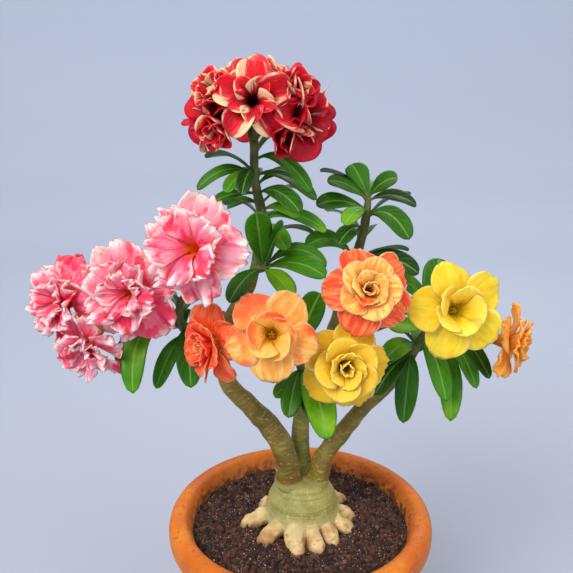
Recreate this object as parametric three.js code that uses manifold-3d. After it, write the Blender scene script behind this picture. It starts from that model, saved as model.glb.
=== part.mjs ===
// Potted desert rose: a grafted adenium in a terracotta pot, with blooms of several colours.
// Millimetres, +Z up. The origin is the centre of the pot's underside; the viewer stands at -Y.
import * as THREE from 'three';
import { mergeVertices } from 'three/addons/utils/BufferGeometryUtils.js';
import Module from 'manifold-3d';

const wasm = await Module();
wasm.setup();

// ---------------------------------------------------------------- driving dimensions

const SEAT_GAP = 0.3;            // clearance where two pieces touch

const POT_SEGMENTS = 32;
const POT_HEIGHT = 170;
const POT_RIM_RADIUS = 120;      // outside of the rim band
const POT_MOUTH_RADIUS = 102;    // inside of the lip
const POT_FOOT_RADIUS = 80;
const POT_FLOOR = 10;
const POT_FILLET = 6;            // slope between the inside of the wall and the floor
const RIM_BAND_HEIGHT = 27;
const RIM_PROUD = 8;             // how far the band stands out from the body
const DRAIN_HOLES = 5;
const DRAIN_SIDES = 8;
const DRAIN_RADIUS = 5;
const DRAIN_CIRCLE = 42;

const SOIL_LEVEL = 158;          // at the trunk
const SOIL_EDGE_LEVEL = 154;     // at the pot wall
const SOIL_FLAT_RADIUS = 60;

const CAUDEX_CENTRE = new THREE.Vector2(2, 0);
const CAUDEX_SIDES = 14;
const BARK_SIDES = 8;
const ROOT_SIDES = 6;
const SHOOT_SIDES = 5;

const LEAF_ROWS = 4;
const LEAF_THICKNESS = 1.5;
const LEAF_BREADTH = 1.15;       // of the flattened leaf, over its width as measured
const FRONT_LIGHT = new THREE.Vector3(0, -0.7, 1);
const REAR_LIGHT = new THREE.Vector3(0, 0.4, 1);
const LEAF_FOLD = 0.22;          // rise of a leaf's edges over its midrib, per half width
const PETAL_THICKNESS = 1.2;
const BLOOM_TUBE_LENGTH = 28;
const BLOOM_TUBE_BASE_RADIUS = 3;
const BLOOM_TUBE_SIDES = 8;
const THROAT_DEPTH = 3;          // the throat's floor, under the roots of the inner petals
const CALYX_HEIGHT = 5;
const CALYX_NECK = 6;            // straight end of a pedicel under its calyx
const PEDICEL_RADIUS = 1.7;

const GOLDEN_ANGLE = 137.5;

// ---------------------------------------------------------------- making and joining solids

const vec = (x, y, z) => new THREE.Vector3(x, y, z);
const rad = (degrees) => THREE.MathUtils.degToRad(degrees);
const pathOf = (points) => new THREE.CatmullRomCurve3(points.map((p) => vec(...p)));

function toSolid(geometry) {
  const bare = geometry.clone();
  bare.deleteAttribute('normal');
  bare.deleteAttribute('uv');
  const merged = mergeVertices(bare, 1e-4);
  const mesh = new wasm.Mesh({
    numProp: 3,
    vertProperties: new Float32Array(merged.attributes.position.array),
    triVerts: new Uint32Array(merged.index.array),
  });
  return new wasm.Manifold(mesh);
}

function fuse(solids) {
  return solids.reduce((sum, solid) => sum.add(solid));
}

// The largest body of a solid: sealed hollows are filled and loose scraps dropped.
function mainBody(solid) {
  return solid.decompose().reduce((best, body) => (body.volume() > best.volume() ? body : best));
}

function toGeometry(solid) {
  const mesh = solid.getMesh();
  const geometry = new THREE.BufferGeometry();
  geometry.setAttribute('position', new THREE.BufferAttribute(mesh.vertProperties, 3));
  geometry.setIndex(new THREE.BufferAttribute(mesh.triVerts, 1));
  geometry.computeVertexNormals();
  return geometry;
}

// A closed turned solid about +Z from a profile of [radius, height] points.
function turned(profile, segments) {
  const points = profile.map(([radius, height]) => new THREE.Vector2(radius, height));
  return new THREE.LatheGeometry(points, segments).rotateX(Math.PI / 2);
}

// A round limb along a smooth path. The radii are spread evenly over its length.
function limb(path, radii, sides, steps) {
  const geometry = new THREE.CylinderGeometry(1, 1, 1, sides, steps);
  const stations = [];
  let across = null;
  for (let step = 0; step <= steps; step += 1) {
    const t = step / steps;
    const tangent = path.getTangent(t);
    if (across === null) {
      across = Math.abs(tangent.z) > 0.9 ? vec(1, 0, 0) : vec(0, 0, 1);
    }
    across = across.clone().addScaledVector(tangent, -across.dot(tangent)).normalize();
    const slot = t * (radii.length - 1);
    const low = Math.min(Math.floor(slot), radii.length - 2);
    const radius = THREE.MathUtils.lerp(radii[low], radii[low + 1], slot - low);
    const binormal = across.clone().cross(tangent);
    stations.push({ centre: path.getPoint(t), across, binormal, radius });
  }
  const position = geometry.attributes.position;
  for (let i = 0; i < position.count; i += 1) {
    const x = position.getX(i);
    const z = position.getZ(i);
    const station = stations[Math.round((position.getY(i) + 0.5) * steps)];
    const point = station.centre.clone();
    point.addScaledVector(station.across, x * station.radius);
    point.addScaledVector(station.binormal, z * station.radius);
    position.setXYZ(i, point.x, point.y, point.z);
  }
  return toSolid(geometry);
}

// A thin blade over a grid. `place(u, v)` gives its middle surface, u from root to tip and
// v from -1 to 1 across. The border is sharp; both faces are split into triangles alike.
function blade(rows, columns, thickness, place) {
  const middle = [];
  for (let i = 0; i <= rows; i += 1) {
    middle.push([]);
    for (let j = 0; j <= columns; j += 1) {
      middle[i].push(place(i / rows, (2 * j) / columns - 1));
    }
  }
  const positions = [];
  const upper = middle.map((row) => row.map(() => 0));
  const lower = middle.map((row) => row.map(() => 0));
  const push = (point) => positions.push(point.x, point.y, point.z) / 3 - 1;
  for (let i = 0; i <= rows; i += 1) {
    for (let j = 0; j <= columns; j += 1) {
      const onBorder = i === 0 || j === 0 || i === rows || j === columns;
      if (onBorder) {
        upper[i][j] = push(middle[i][j]);
        lower[i][j] = upper[i][j];
      } else {
        const along = middle[i + 1][j].clone().sub(middle[i - 1][j]);
        const across = middle[i][j + 1].clone().sub(middle[i][j - 1]);
        const normal = across.cross(along).setLength(thickness / 2);
        upper[i][j] = push(middle[i][j].clone().add(normal));
        lower[i][j] = push(middle[i][j].clone().sub(normal));
      }
    }
  }
  const index = [];
  for (let i = 0; i < rows; i += 1) {
    for (let j = 0; j < columns; j += 1) {
      const leftHalf = j < columns / 2;
      [upper, lower].forEach((face, side) => {
        const a = face[i][j];
        const b = face[i][j + 1];
        const c = face[i + 1][j + 1];
        const d = face[i + 1][j];
        const triangles = leftHalf ? [[a, b, c], [a, c, d]] : [[a, b, d], [b, c, d]];
        triangles.forEach((t) => index.push(...(side === 0 ? t : [t[0], t[2], t[1]])));
      });
    }
  }
  const geometry = new THREE.BufferGeometry();
  geometry.setAttribute('position', new THREE.Float32BufferAttribute(positions, 3));
  geometry.setIndex(index);
  return toSolid(geometry);
}

// ---------------------------------------------------------------- pot

const BAND_FOOT = POT_HEIGHT - RIM_BAND_HEIGHT;
const POT_TAPER = (POT_RIM_RADIUS - RIM_PROUD - POT_FOOT_RADIUS) / BAND_FOOT;

// Radius of the inside of the pot wall at a height.
function insideRadius(z) {
  return POT_MOUTH_RADIUS - (POT_HEIGHT - z) * POT_TAPER;
}

function makePot() {
  const floorRadius = insideRadius(POT_FLOOR + POT_FILLET);
  const profile = [
    [0, 0],
    [POT_FOOT_RADIUS - 3, 0],
    [POT_FOOT_RADIUS, 3],
    [POT_RIM_RADIUS - RIM_PROUD, BAND_FOOT],
    [POT_RIM_RADIUS - 3, BAND_FOOT + 2],
    [POT_RIM_RADIUS - 0.5, BAND_FOOT + 7],
    [POT_RIM_RADIUS, BAND_FOOT + 16],
    [POT_RIM_RADIUS - 2, BAND_FOOT + 23],
    [POT_RIM_RADIUS - 7, POT_HEIGHT],
    [POT_MOUTH_RADIUS + 5, POT_HEIGHT],
    [POT_MOUTH_RADIUS + 0.8, POT_HEIGHT - 3],
    [insideRadius(POT_HEIGHT - 10), POT_HEIGHT - 10],
    [floorRadius, POT_FLOOR + POT_FILLET],
    [floorRadius - POT_FILLET, POT_FLOOR],
    [0, POT_FLOOR],
  ];
  let pot = toSolid(turned(profile, POT_SEGMENTS));
  for (let i = 0; i < DRAIN_HOLES; i += 1) {
    const angle = rad((360 / DRAIN_HOLES) * i);
    const length = POT_FLOOR * 3;
    const drill = new THREE.CylinderGeometry(DRAIN_RADIUS, DRAIN_RADIUS, length, DRAIN_SIDES);
    drill.rotateX(Math.PI / 2);
    drill.translate(DRAIN_CIRCLE * Math.cos(angle), DRAIN_CIRCLE * Math.sin(angle), 0);
    pot = pot.subtract(toSolid(drill));
  }
  return pot;
}

// ---------------------------------------------------------------- trunk: caudex, roots, branches

// [azimuth in degrees, reach of the root's tip over the soil, thickness]
const ROOTS = [
  [190, 52, 15], [227, 50, 15], [261, 49, 19], [283, 50, 15], [307, 47, 14], [337, 47, 14],
  [3, 46, 14], [40, 50, 14], [75, 46, 15], [110, 47, 14], [147, 44, 14],
];

// [radius, height] of the caudex, from its underground foot to its shoulders
const CAUDEX_PROFILE = [
  [0, 126], [14, 128], [23, 140], [29, 154], [32.5, 165], [32.5, 175], [30, 184],
  [27, 191], [23, 197], [16, 203], [0, 206],
];

// The soil is cut with the same shapes, swollen by the gap.
function makeRootStock(swell) {
  const profile = CAUDEX_PROFILE.map(([radius, height], i) => {
    const foot = i < 2 ? swell : 0;
    return [radius === 0 ? 0 : radius + swell, height - foot];
  });
  const caudex = turned(profile, CAUDEX_SIDES).translate(CAUDEX_CENTRE.x, CAUDEX_CENTRE.y, 0);
  const pieces = [toSolid(caudex)];
  ROOTS.forEach(([azimuth, reach, thickness]) => {
    const out = vec(Math.cos(rad(azimuth)), Math.sin(rad(azimuth)), 0);
    const at = (distance, z) => [
      CAUDEX_CENTRE.x + out.x * distance,
      CAUDEX_CENTRE.y + out.y * distance,
      z,
    ];
    const path = pathOf([
      at(12, 170), at(26, 167), at(reach - 12, 163), at(reach - 3, 156), at(reach, 146),
      at(reach, 132 - swell),
    ]);
    const half = thickness / 2;
    const radii = [half, half, half * 1.05, half, half * 0.85, half * 0.5].map((r) => r + swell);
    pieces.push(limb(path, radii, ROOT_SIDES, 4));
  });
  return fuse(pieces);
}

const LEFT_BRANCH = [
  [-8, 0, 188], [-11, -8, 207], [-14, -12, 232], [-26, -15, 258], [-43, -18, 279],
  [-60, -20, 300], [-68, -16, 322],
];
const LEFT_LIMB = [[-64, -19, 308], [-72, -17, 325], [-80, -16, 334], [-89, -15, 341]];
const TOP_LIMB = [[-66, -18, 312], [-67, -13, 334], [-57, -5, 360], [-44, 0, 380], [-40, 0, 392]];
const MIDDLE_BRANCH = [
  [2, 5, 188], [0, 8, 226], [1, 9, 254], [10, 11, 284], [25, 15, 325], [38, 19, 365], [44, 20, 388],
];
const CENTRE_SPUR = [[9, 11, 282], [5, 2, 291], [3, -6, 299]];
const RIGHT_BRANCH = [
  [10, 0, 188], [16, -6, 207], [21, -6, 226], [37, -4, 248], [56, 0, 271], [76, 0, 292],
  [92, 0, 315],
];

function makeTrunk() {
  return fuse([
    makeRootStock(0),
    limb(pathOf(LEFT_BRANCH), [14, 11.5, 10, 9.5, 8.5, 7.5, 6.5], BARK_SIDES, 8),
    limb(pathOf(LEFT_LIMB), [6, 6, 5.6, 5], BARK_SIDES, 3),
    limb(pathOf(TOP_LIMB), [6, 6, 5.6, 5.2, 4.8], BARK_SIDES, 5),
    limb(pathOf(MIDDLE_BRANCH), [12, 8.5, 7.5, 7, 6.5, 6, 5.2], BARK_SIDES, 8),
    limb(pathOf(CENTRE_SPUR), [4.5, 4.5, 4], BARK_SIDES, 2),
    limb(pathOf(RIGHT_BRANCH), [13, 9.5, 8.2, 7.6, 7, 6.4, 5.5], BARK_SIDES, 8),
  ]);
}

// ---------------------------------------------------------------- soil

function makeSoil() {
  const floorRadius = insideRadius(POT_FLOOR + POT_FILLET) - SEAT_GAP;
  const edgeRadius = insideRadius(SOIL_EDGE_LEVEL) - SEAT_GAP;
  const profile = [
    [0, POT_FLOOR + SEAT_GAP],
    [floorRadius - POT_FILLET, POT_FLOOR + SEAT_GAP],
    [floorRadius, POT_FLOOR + POT_FILLET],
    [edgeRadius, SOIL_EDGE_LEVEL],
    [edgeRadius - 11, SOIL_LEVEL - 1.5],
    [SOIL_FLAT_RADIUS, SOIL_LEVEL],
    [0, SOIL_LEVEL],
  ];
  return toSolid(turned(profile, POT_SEGMENTS)).subtract(makeRootStock(SEAT_GAP));
}

// ---------------------------------------------------------------- blooms

// Each kind of flower is a list of petal rings of five, the outermost first. `arch` is the
// petal's midline, as [distance from the axis, height over the throat] at root, bend and tip.
const PETALS_IN_RING = 5;
const PETAL_ROWS = 3;
const PETAL_TWIST = 0.2;         // lifts one edge of a petal over its neighbour
const PETAL_ROUNDING = 0.17;     // how far the corners of a petal's tip fall back
const ROOT_CROWDING = 0.75;      // share of its sector that a petal fills near its root
const PETAL_RINGS = {
  star: [
    { width: 24, arch: [[6, -2], [17, 13], [33, 1]], cup: 0.45, ruffle: 0, close: 0.9, columns: 2 },
    { width: 18, arch: [[4, -3], [9, 15], [21, 14]], cup: 0.4, ruffle: 0, close: 0.9, columns: 2 },
  ],
  ruffled: [
    { width: 40, arch: [[6, -2], [14, 5], [41, -5]], cup: 0.05, ruffle: 3.4, close: 0.76, columns: 4 },
    { width: 30, arch: [[4, -3], [8, 14], [29, 15]], cup: 0.1, ruffle: 3, close: 0.76, columns: 4 },
  ],
  round: [
    { width: 34, arch: [[6, -2], [14, 10], [37, 1]], cup: 0.14, ruffle: 0.7, close: 0.76, columns: 4 },
    { width: 21, arch: [[4, -3], [8, 13], [20, 13]], cup: 0.3, ruffle: 0, close: 0.8, columns: 2 },
  ],
  rose: [
    { width: 34, arch: [[6, -2], [16, 9], [35, -4]], cup: 0.15, ruffle: 0.8, close: 0.76, columns: 4 },
    { width: 25, arch: [[4.4, -3], [8.5, 14], [26, 15]], cup: 0.25, ruffle: 0, close: 0.8, columns: 2 },
    { width: 11, arch: [[2.6, -3], [4.5, 11], [11, 20]], cup: 0.1, ruffle: 0, close: 0.8, columns: 2 },
  ],
};

// Widths of a petal along its length, as parts of its full width. `close` says how far the
// tip closes: near 1 it is pointed, and lower it is blunt.
function petalOutline(u, close) {
  return Math.sin(Math.PI * u ** 1.25 * close) ** 0.7;
}

// A point of a petal's middle surface: u from root to tip, v from -1 to 1 across.
function petalPoint(ring, angle, scale, u, v) {
  const [root, bend, tip] = ring.arch;
  const midline = new THREE.QuadraticBezierCurve(
    new THREE.Vector2(...root), new THREE.Vector2(...bend), new THREE.Vector2(...tip),
  );
  const reach = u * (1 - PETAL_ROUNDING * v * v);
  const spot = midline.getPoint(reach);
  const slope = midline.getTangent(reach);
  const sector = spot.x * Math.tan(Math.PI / PETALS_IN_RING) - PETAL_THICKNESS / 2;
  const room = sector * (ROOT_CROWDING + u);
  const half = Math.min((ring.width / 2) * petalOutline(u, ring.close), room) * scale;
  const wave = ring.ruffle * u ** 3 * Math.cos(2 * Math.PI * v + angle);
  const lift = half * (ring.cup * v * v + PETAL_TWIST * v) + wave * scale;
  const outward = spot.x * scale - slope.y * lift;
  const height = spot.y * scale + slope.x * lift;
  return vec(outward, v * half, height).applyAxisAngle(vec(0, 0, 1), angle);
}

// A whole flower as one closed skin about +Z, its throat at the origin: the tube, then the
// rings of petals, whose roots meet side by side round the throat, then the throat's floor.
function corolla({ kind, size = 1 }) {
  const positions = [];
  const index = [];
  const push = (point) => positions.push(point.x, point.y, point.z) / 3 - 1;
  const circle = (radius, height, count) => Array.from({ length: count }, (_, i) => {
    const turn = i / count;
    const angle = 2 * Math.PI * turn;
    return { turn, id: push(vec(radius * Math.cos(angle), radius * Math.sin(angle), height)) };
  });

  // Joins two rings of points that may differ in number, the second further on in the skin.
  function zip(first, second) {
    let i = 0;
    let j = 0;
    while (i < first.length || j < second.length) {
      const a = first[i % first.length];
      const b = second[j % second.length];
      const nextA = first[(i + 1) % first.length];
      const nextB = second[(j + 1) % second.length];
      const turnA = i + 1 < first.length ? nextA.turn : nextA.turn + 1;
      const turnB = j + 1 < second.length ? nextB.turn : nextB.turn + 1;
      if (j >= second.length || (i < first.length && turnA <= turnB)) {
        index.push(a.id, nextA.id, b.id);
        i += 1;
      } else {
        index.push(a.id, nextB.id, b.id);
        j += 1;
      }
    }
  }

  const base = circle(BLOOM_TUBE_BASE_RADIUS, -BLOOM_TUBE_LENGTH, BLOOM_TUBE_SIDES);
  const neck = circle(BLOOM_TUBE_BASE_RADIUS + 0.4, -BLOOM_TUBE_LENGTH * 0.7, BLOOM_TUBE_SIDES);
  const foot = push(vec(0, 0, -BLOOM_TUBE_LENGTH));
  base.forEach(({ id }, i) => index.push(foot, base[(i + 1) % base.length].id, id));
  zip(base, neck);

  let skin = neck;
  PETAL_RINGS[kind].forEach((ring, order) => {
    const [rootRadius, rootHeight] = ring.arch[0];
    const { columns } = ring;
    const around = PETALS_IN_RING * columns;
    const offset = order % 2 === 0 ? 0 : columns / 2;
    const under = [];
    const over = [];
    for (let i = 0; i < around; i += 1) {
      const turn = i / around;
      const angle = 2 * Math.PI * turn;
      const spot = (radius) => vec(radius * Math.cos(angle), radius * Math.sin(angle), rootHeight);
      const onBorder = (i + offset) % columns === 0;
      const half = onBorder ? 0 : PETAL_THICKNESS / 2;
      const id = push(spot(rootRadius + half));
      under.push({ turn, id });
      over.push({ turn, id: onBorder ? id : push(spot(rootRadius - half)) });
    }
    zip(skin, under);
    skin = over;
    for (let petal = 0; petal < PETALS_IN_RING; petal += 1) {
      const start = petal * columns - offset;
      const angle = (2 * Math.PI * (start + columns / 2)) / around;
      const spot = (row, j) => {
        const u = (row / PETAL_ROWS) ** 0.85;
        return petalPoint(ring, angle, size, u, (2 * j) / columns - 1);
      };
      const pick = (loop, j) => loop[(start + j + around) % around].id;
      const faces = [under, over].map((loop) => [
        Array.from({ length: columns + 1 }, (_, j) => pick(loop, j)),
      ]);
      for (let row = 1; row <= PETAL_ROWS; row += 1) {
        const rows = [[], []];
        for (let j = 0; j <= columns; j += 1) {
          if (j === 0 || j === columns || row === PETAL_ROWS) {
            const id = push(spot(row, j));
            rows.forEach((ids) => ids.push(id));
          } else {
            const along = spot(row + 1, j).sub(spot(row - 1, j));
            const across = spot(row, j + 1).sub(spot(row, j - 1));
            const normal = along.cross(across).setLength(PETAL_THICKNESS / 2);
            rows[0].push(push(spot(row, j).sub(normal)));
            rows[1].push(push(spot(row, j).add(normal)));
          }
        }
        faces.forEach((face, k) => face.push(rows[k]));
      }
      faces.forEach((face, k) => {
        for (let row = 0; row < PETAL_ROWS; row += 1) {
          for (let j = 0; j < columns; j += 1) {
            const a = face[row][j];
            const b = face[row][j + 1];
            const c = face[row + 1][j + 1];
            const d = face[row + 1][j];
            const split = j < columns / 2 ? [[a, b, c], [a, c, d]] : [[a, b, d], [b, c, d]];
            split.forEach((t) => index.push(...(k === 0 ? t : [t[0], t[2], t[1]])));
          }
        }
      });
    }
  });
  const [, innerRoot] = PETAL_RINGS[kind].at(-1).arch[0];
  const floor = push(vec(0, 0, innerRoot - THROAT_DEPTH));
  skin.forEach(({ id }, i) => index.push(id, skin[(i + 1) % skin.length].id, floor));

  const geometry = new THREE.BufferGeometry();
  geometry.setAttribute('position', new THREE.Float32BufferAttribute(positions, 3));
  geometry.setIndex(index);
  return toSolid(geometry);
}

// One flower in the world: its throat stands at `at` and it looks towards `facing`.
function bloom(flower) {
  const look = vec(...flower.facing).normalize();
  const turn = new THREE.Quaternion().setFromUnitVectors(vec(0, 0, 1), look);
  turn.multiply(new THREE.Quaternion().setFromAxisAngle(vec(0, 0, 1), rad(flower.spin)));
  const place = new THREE.Matrix4().compose(vec(...flower.at), turn, vec(1, 1, 1));
  return corolla(flower).transform(place.toArray());
}

// Where a flower's tube begins, and the way it points.
function bloomSeat({ at, facing }) {
  const look = vec(...facing).normalize();
  return { look, point: vec(...at).addScaledVector(look, -BLOOM_TUBE_LENGTH) };
}

const BLOOMS = {
  red_front: { kind: 'star', at: [-37, -40, 531], facing: [0, -1, 0.15], spin: 54, size: 0.9 },
  red_left: { kind: 'star', at: [-67, -16, 520], facing: [-0.9, -0.6, 0.1], spin: 10, size: 0.9 },
  red_top: { kind: 'star', at: [-49, -8, 545], facing: [-0.4, -0.5, 1], spin: 30, size: 0.9 },
  red_rear: { kind: 'star', at: [-42, 38, 525], facing: [-0.15, 1, 0.3], spin: 0 },
  red_crown: { kind: 'star', at: [-15, -2, 541], facing: [0.5, -0.4, 0.85], spin: 60, size: 0.9 },
  red_right: { kind: 'star', at: [-3, -27, 519], facing: [0.8, -0.75, 0], spin: 40, size: 0.98 },
  pink_top: { kind: 'ruffled', at: [-77, -90, 432], facing: [-0.35, -0.95, 0.3], spin: 15, size: 1.02 },
  pink_middle: { kind: 'ruffled', at: [-131, -57, 391], facing: [-0.3, -0.95, 0.1], spin: 50 },
  pink_left: { kind: 'ruffled', at: [-191, -38, 379], facing: [-0.65, -0.75, 0.15], spin: 0 },
  pink_low: { kind: 'ruffled', at: [-170, -47, 345], facing: [-0.35, -0.8, -0.6], spin: 30, size: 0.78 },
  coral_side: { kind: 'rose', at: [-66, -71, 355], facing: [-0.8, -0.66, 0.05], spin: 12, size: 0.9 },
  peach: { kind: 'round', at: [-23, -95, 371], facing: [-0.02, -0.95, 0.3], spin: 18, size: 0.94 },
  yellow_low: { kind: 'rose', at: [30, -80, 342], facing: [0.1, -0.95, 0.15], spin: 40, size: 0.98 },
  coral_double: { kind: 'rose', at: [46, -77, 398], facing: [0.05, -0.9, 0.4], spin: 0, size: 0.95 },
  yellow_right: { kind: 'round', at: [115, -60, 378], facing: [0.08, -0.95, 0.3], spin: 0, size: 1.04 },
  orange_side: { kind: 'rose', at: [170, -27, 341], facing: [0.8, -0.62, -0.08], spin: 25, size: 0.92 },
};

// ---------------------------------------------------------------- leafy stems

// Widths of a leaf along its length: a narrow foot, broad beyond the middle, a blunt tip.
function leafOutline(u) {
  const swell = Math.sin((Math.PI / 2) * Math.min(u / 0.72, 1)) ** 1.4;
  const tip = Math.sqrt(1 - (Math.max(u - 0.7, 0) / 0.33) ** 2);
  return Math.max(0.16, swell * tip);
}

// A leaf from `root` to `tip`, arched upwards by `arch`, its edges raised over the midrib
// and its upper face turned to the light.
function leaf(root, tip, width, arch, light) {
  const crown = root.clone().lerp(tip, 0.45).add(vec(0, 0, 2 * arch));
  const midline = new THREE.QuadraticBezierCurve3(root, crown, tip);
  return blade(LEAF_ROWS, 2, LEAF_THICKNESS, (row, v) => {
    const u = 1 - (1 - row) ** 1.3;
    const tangent = midline.getTangent(u);
    const side = light.clone().cross(tangent).normalize();
    const up = tangent.clone().cross(side);
    const half = (width / 2) * LEAF_BREADTH * leafOutline(u);
    const point = midline.getPoint(u);
    point.addScaledVector(side, v * half);
    return point.addScaledVector(up, Math.abs(v) * half * LEAF_FOLD);
  });
}

// Leaves set round a shoot by the golden angle, over the sides that `facing` opens to.
function spiralLeaves({ count, from, to, middle, spread, length, lift, width, arch }) {
  const leaves = [];
  for (let i = 0; i < count; i += 1) {
    const share = count > 1 ? i / (count - 1) : 0;
    const turn = ((i * GOLDEN_ANGLE) % 360) / 360 - 0.5;
    const azimuth = rad(middle + turn * spread);
    const size = length * (1 - 0.18 * ((i * 2) % 3) / 2);
    const run = vec(Math.cos(azimuth) * size, Math.sin(azimuth) * size, lift * (0.4 + 0.6 * share));
    leaves.push({ along: THREE.MathUtils.lerp(from, to, share), run, width, arch });
  }
  return leaves;
}

// A pedicel from a shoot to a flower, with its calyx cup seated under the flower's tube.
function pedicel(from, seat) {
  const top = seat.point.clone().addScaledVector(seat.look, -SEAT_GAP);
  const foot = top.clone().addScaledVector(seat.look, -CALYX_HEIGHT);
  const neck = foot.clone().addScaledVector(seat.look, -CALYX_NECK);
  const path = new THREE.CatmullRomCurve3([from, from.clone().lerp(neck, 0.5), neck, foot, top]);
  const r = PEDICEL_RADIUS;
  return limb(path, [r * 1.3, r, r, r * 1.1, BLOOM_TUBE_BASE_RADIUS + 0.6], SHOOT_SIDES, 4);
}

// A leafy stem: shoots, the leaves on each, and the stalks of the flowers it carries.
function makeStem({ shoots, flowers = [] }) {
  const pieces = [];
  shoots.forEach(({ points, radii, leaves = [], spirals = [], steps = 5 }) => {
    const path = pathOf(points);
    pieces.push(limb(path, radii, SHOOT_SIDES, steps));
    leaves.forEach(([along, x, y, z, width, arch]) => {
      pieces.push(leaf(path.getPoint(along), vec(x, y, z), width, arch, FRONT_LIGHT));
    });
    spirals.flatMap(spiralLeaves).forEach(({ along, run, width, arch }) => {
      const root = path.getPoint(along);
      pieces.push(leaf(root, root.clone().add(run), width, arch, REAR_LIGHT));
    });
  });
  flowers.forEach(([shoot, along, name]) => {
    const from = pathOf(shoots[shoot].points).getPoint(along);
    pieces.push(pedicel(from, bloomSeat(BLOOMS[name])));
  });
  return fuse(pieces);
}

// The first two points of a stem that grows on from the end of a branch.
function growFrom(branch) {
  const end = vec(...branch[branch.length - 1]);
  const direction = end.clone().sub(vec(...branch[branch.length - 2])).normalize();
  const start = end.clone().addScaledVector(direction, SEAT_GAP);
  return [start.toArray(), start.clone().addScaledVector(direction, 6).toArray()];
}

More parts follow.
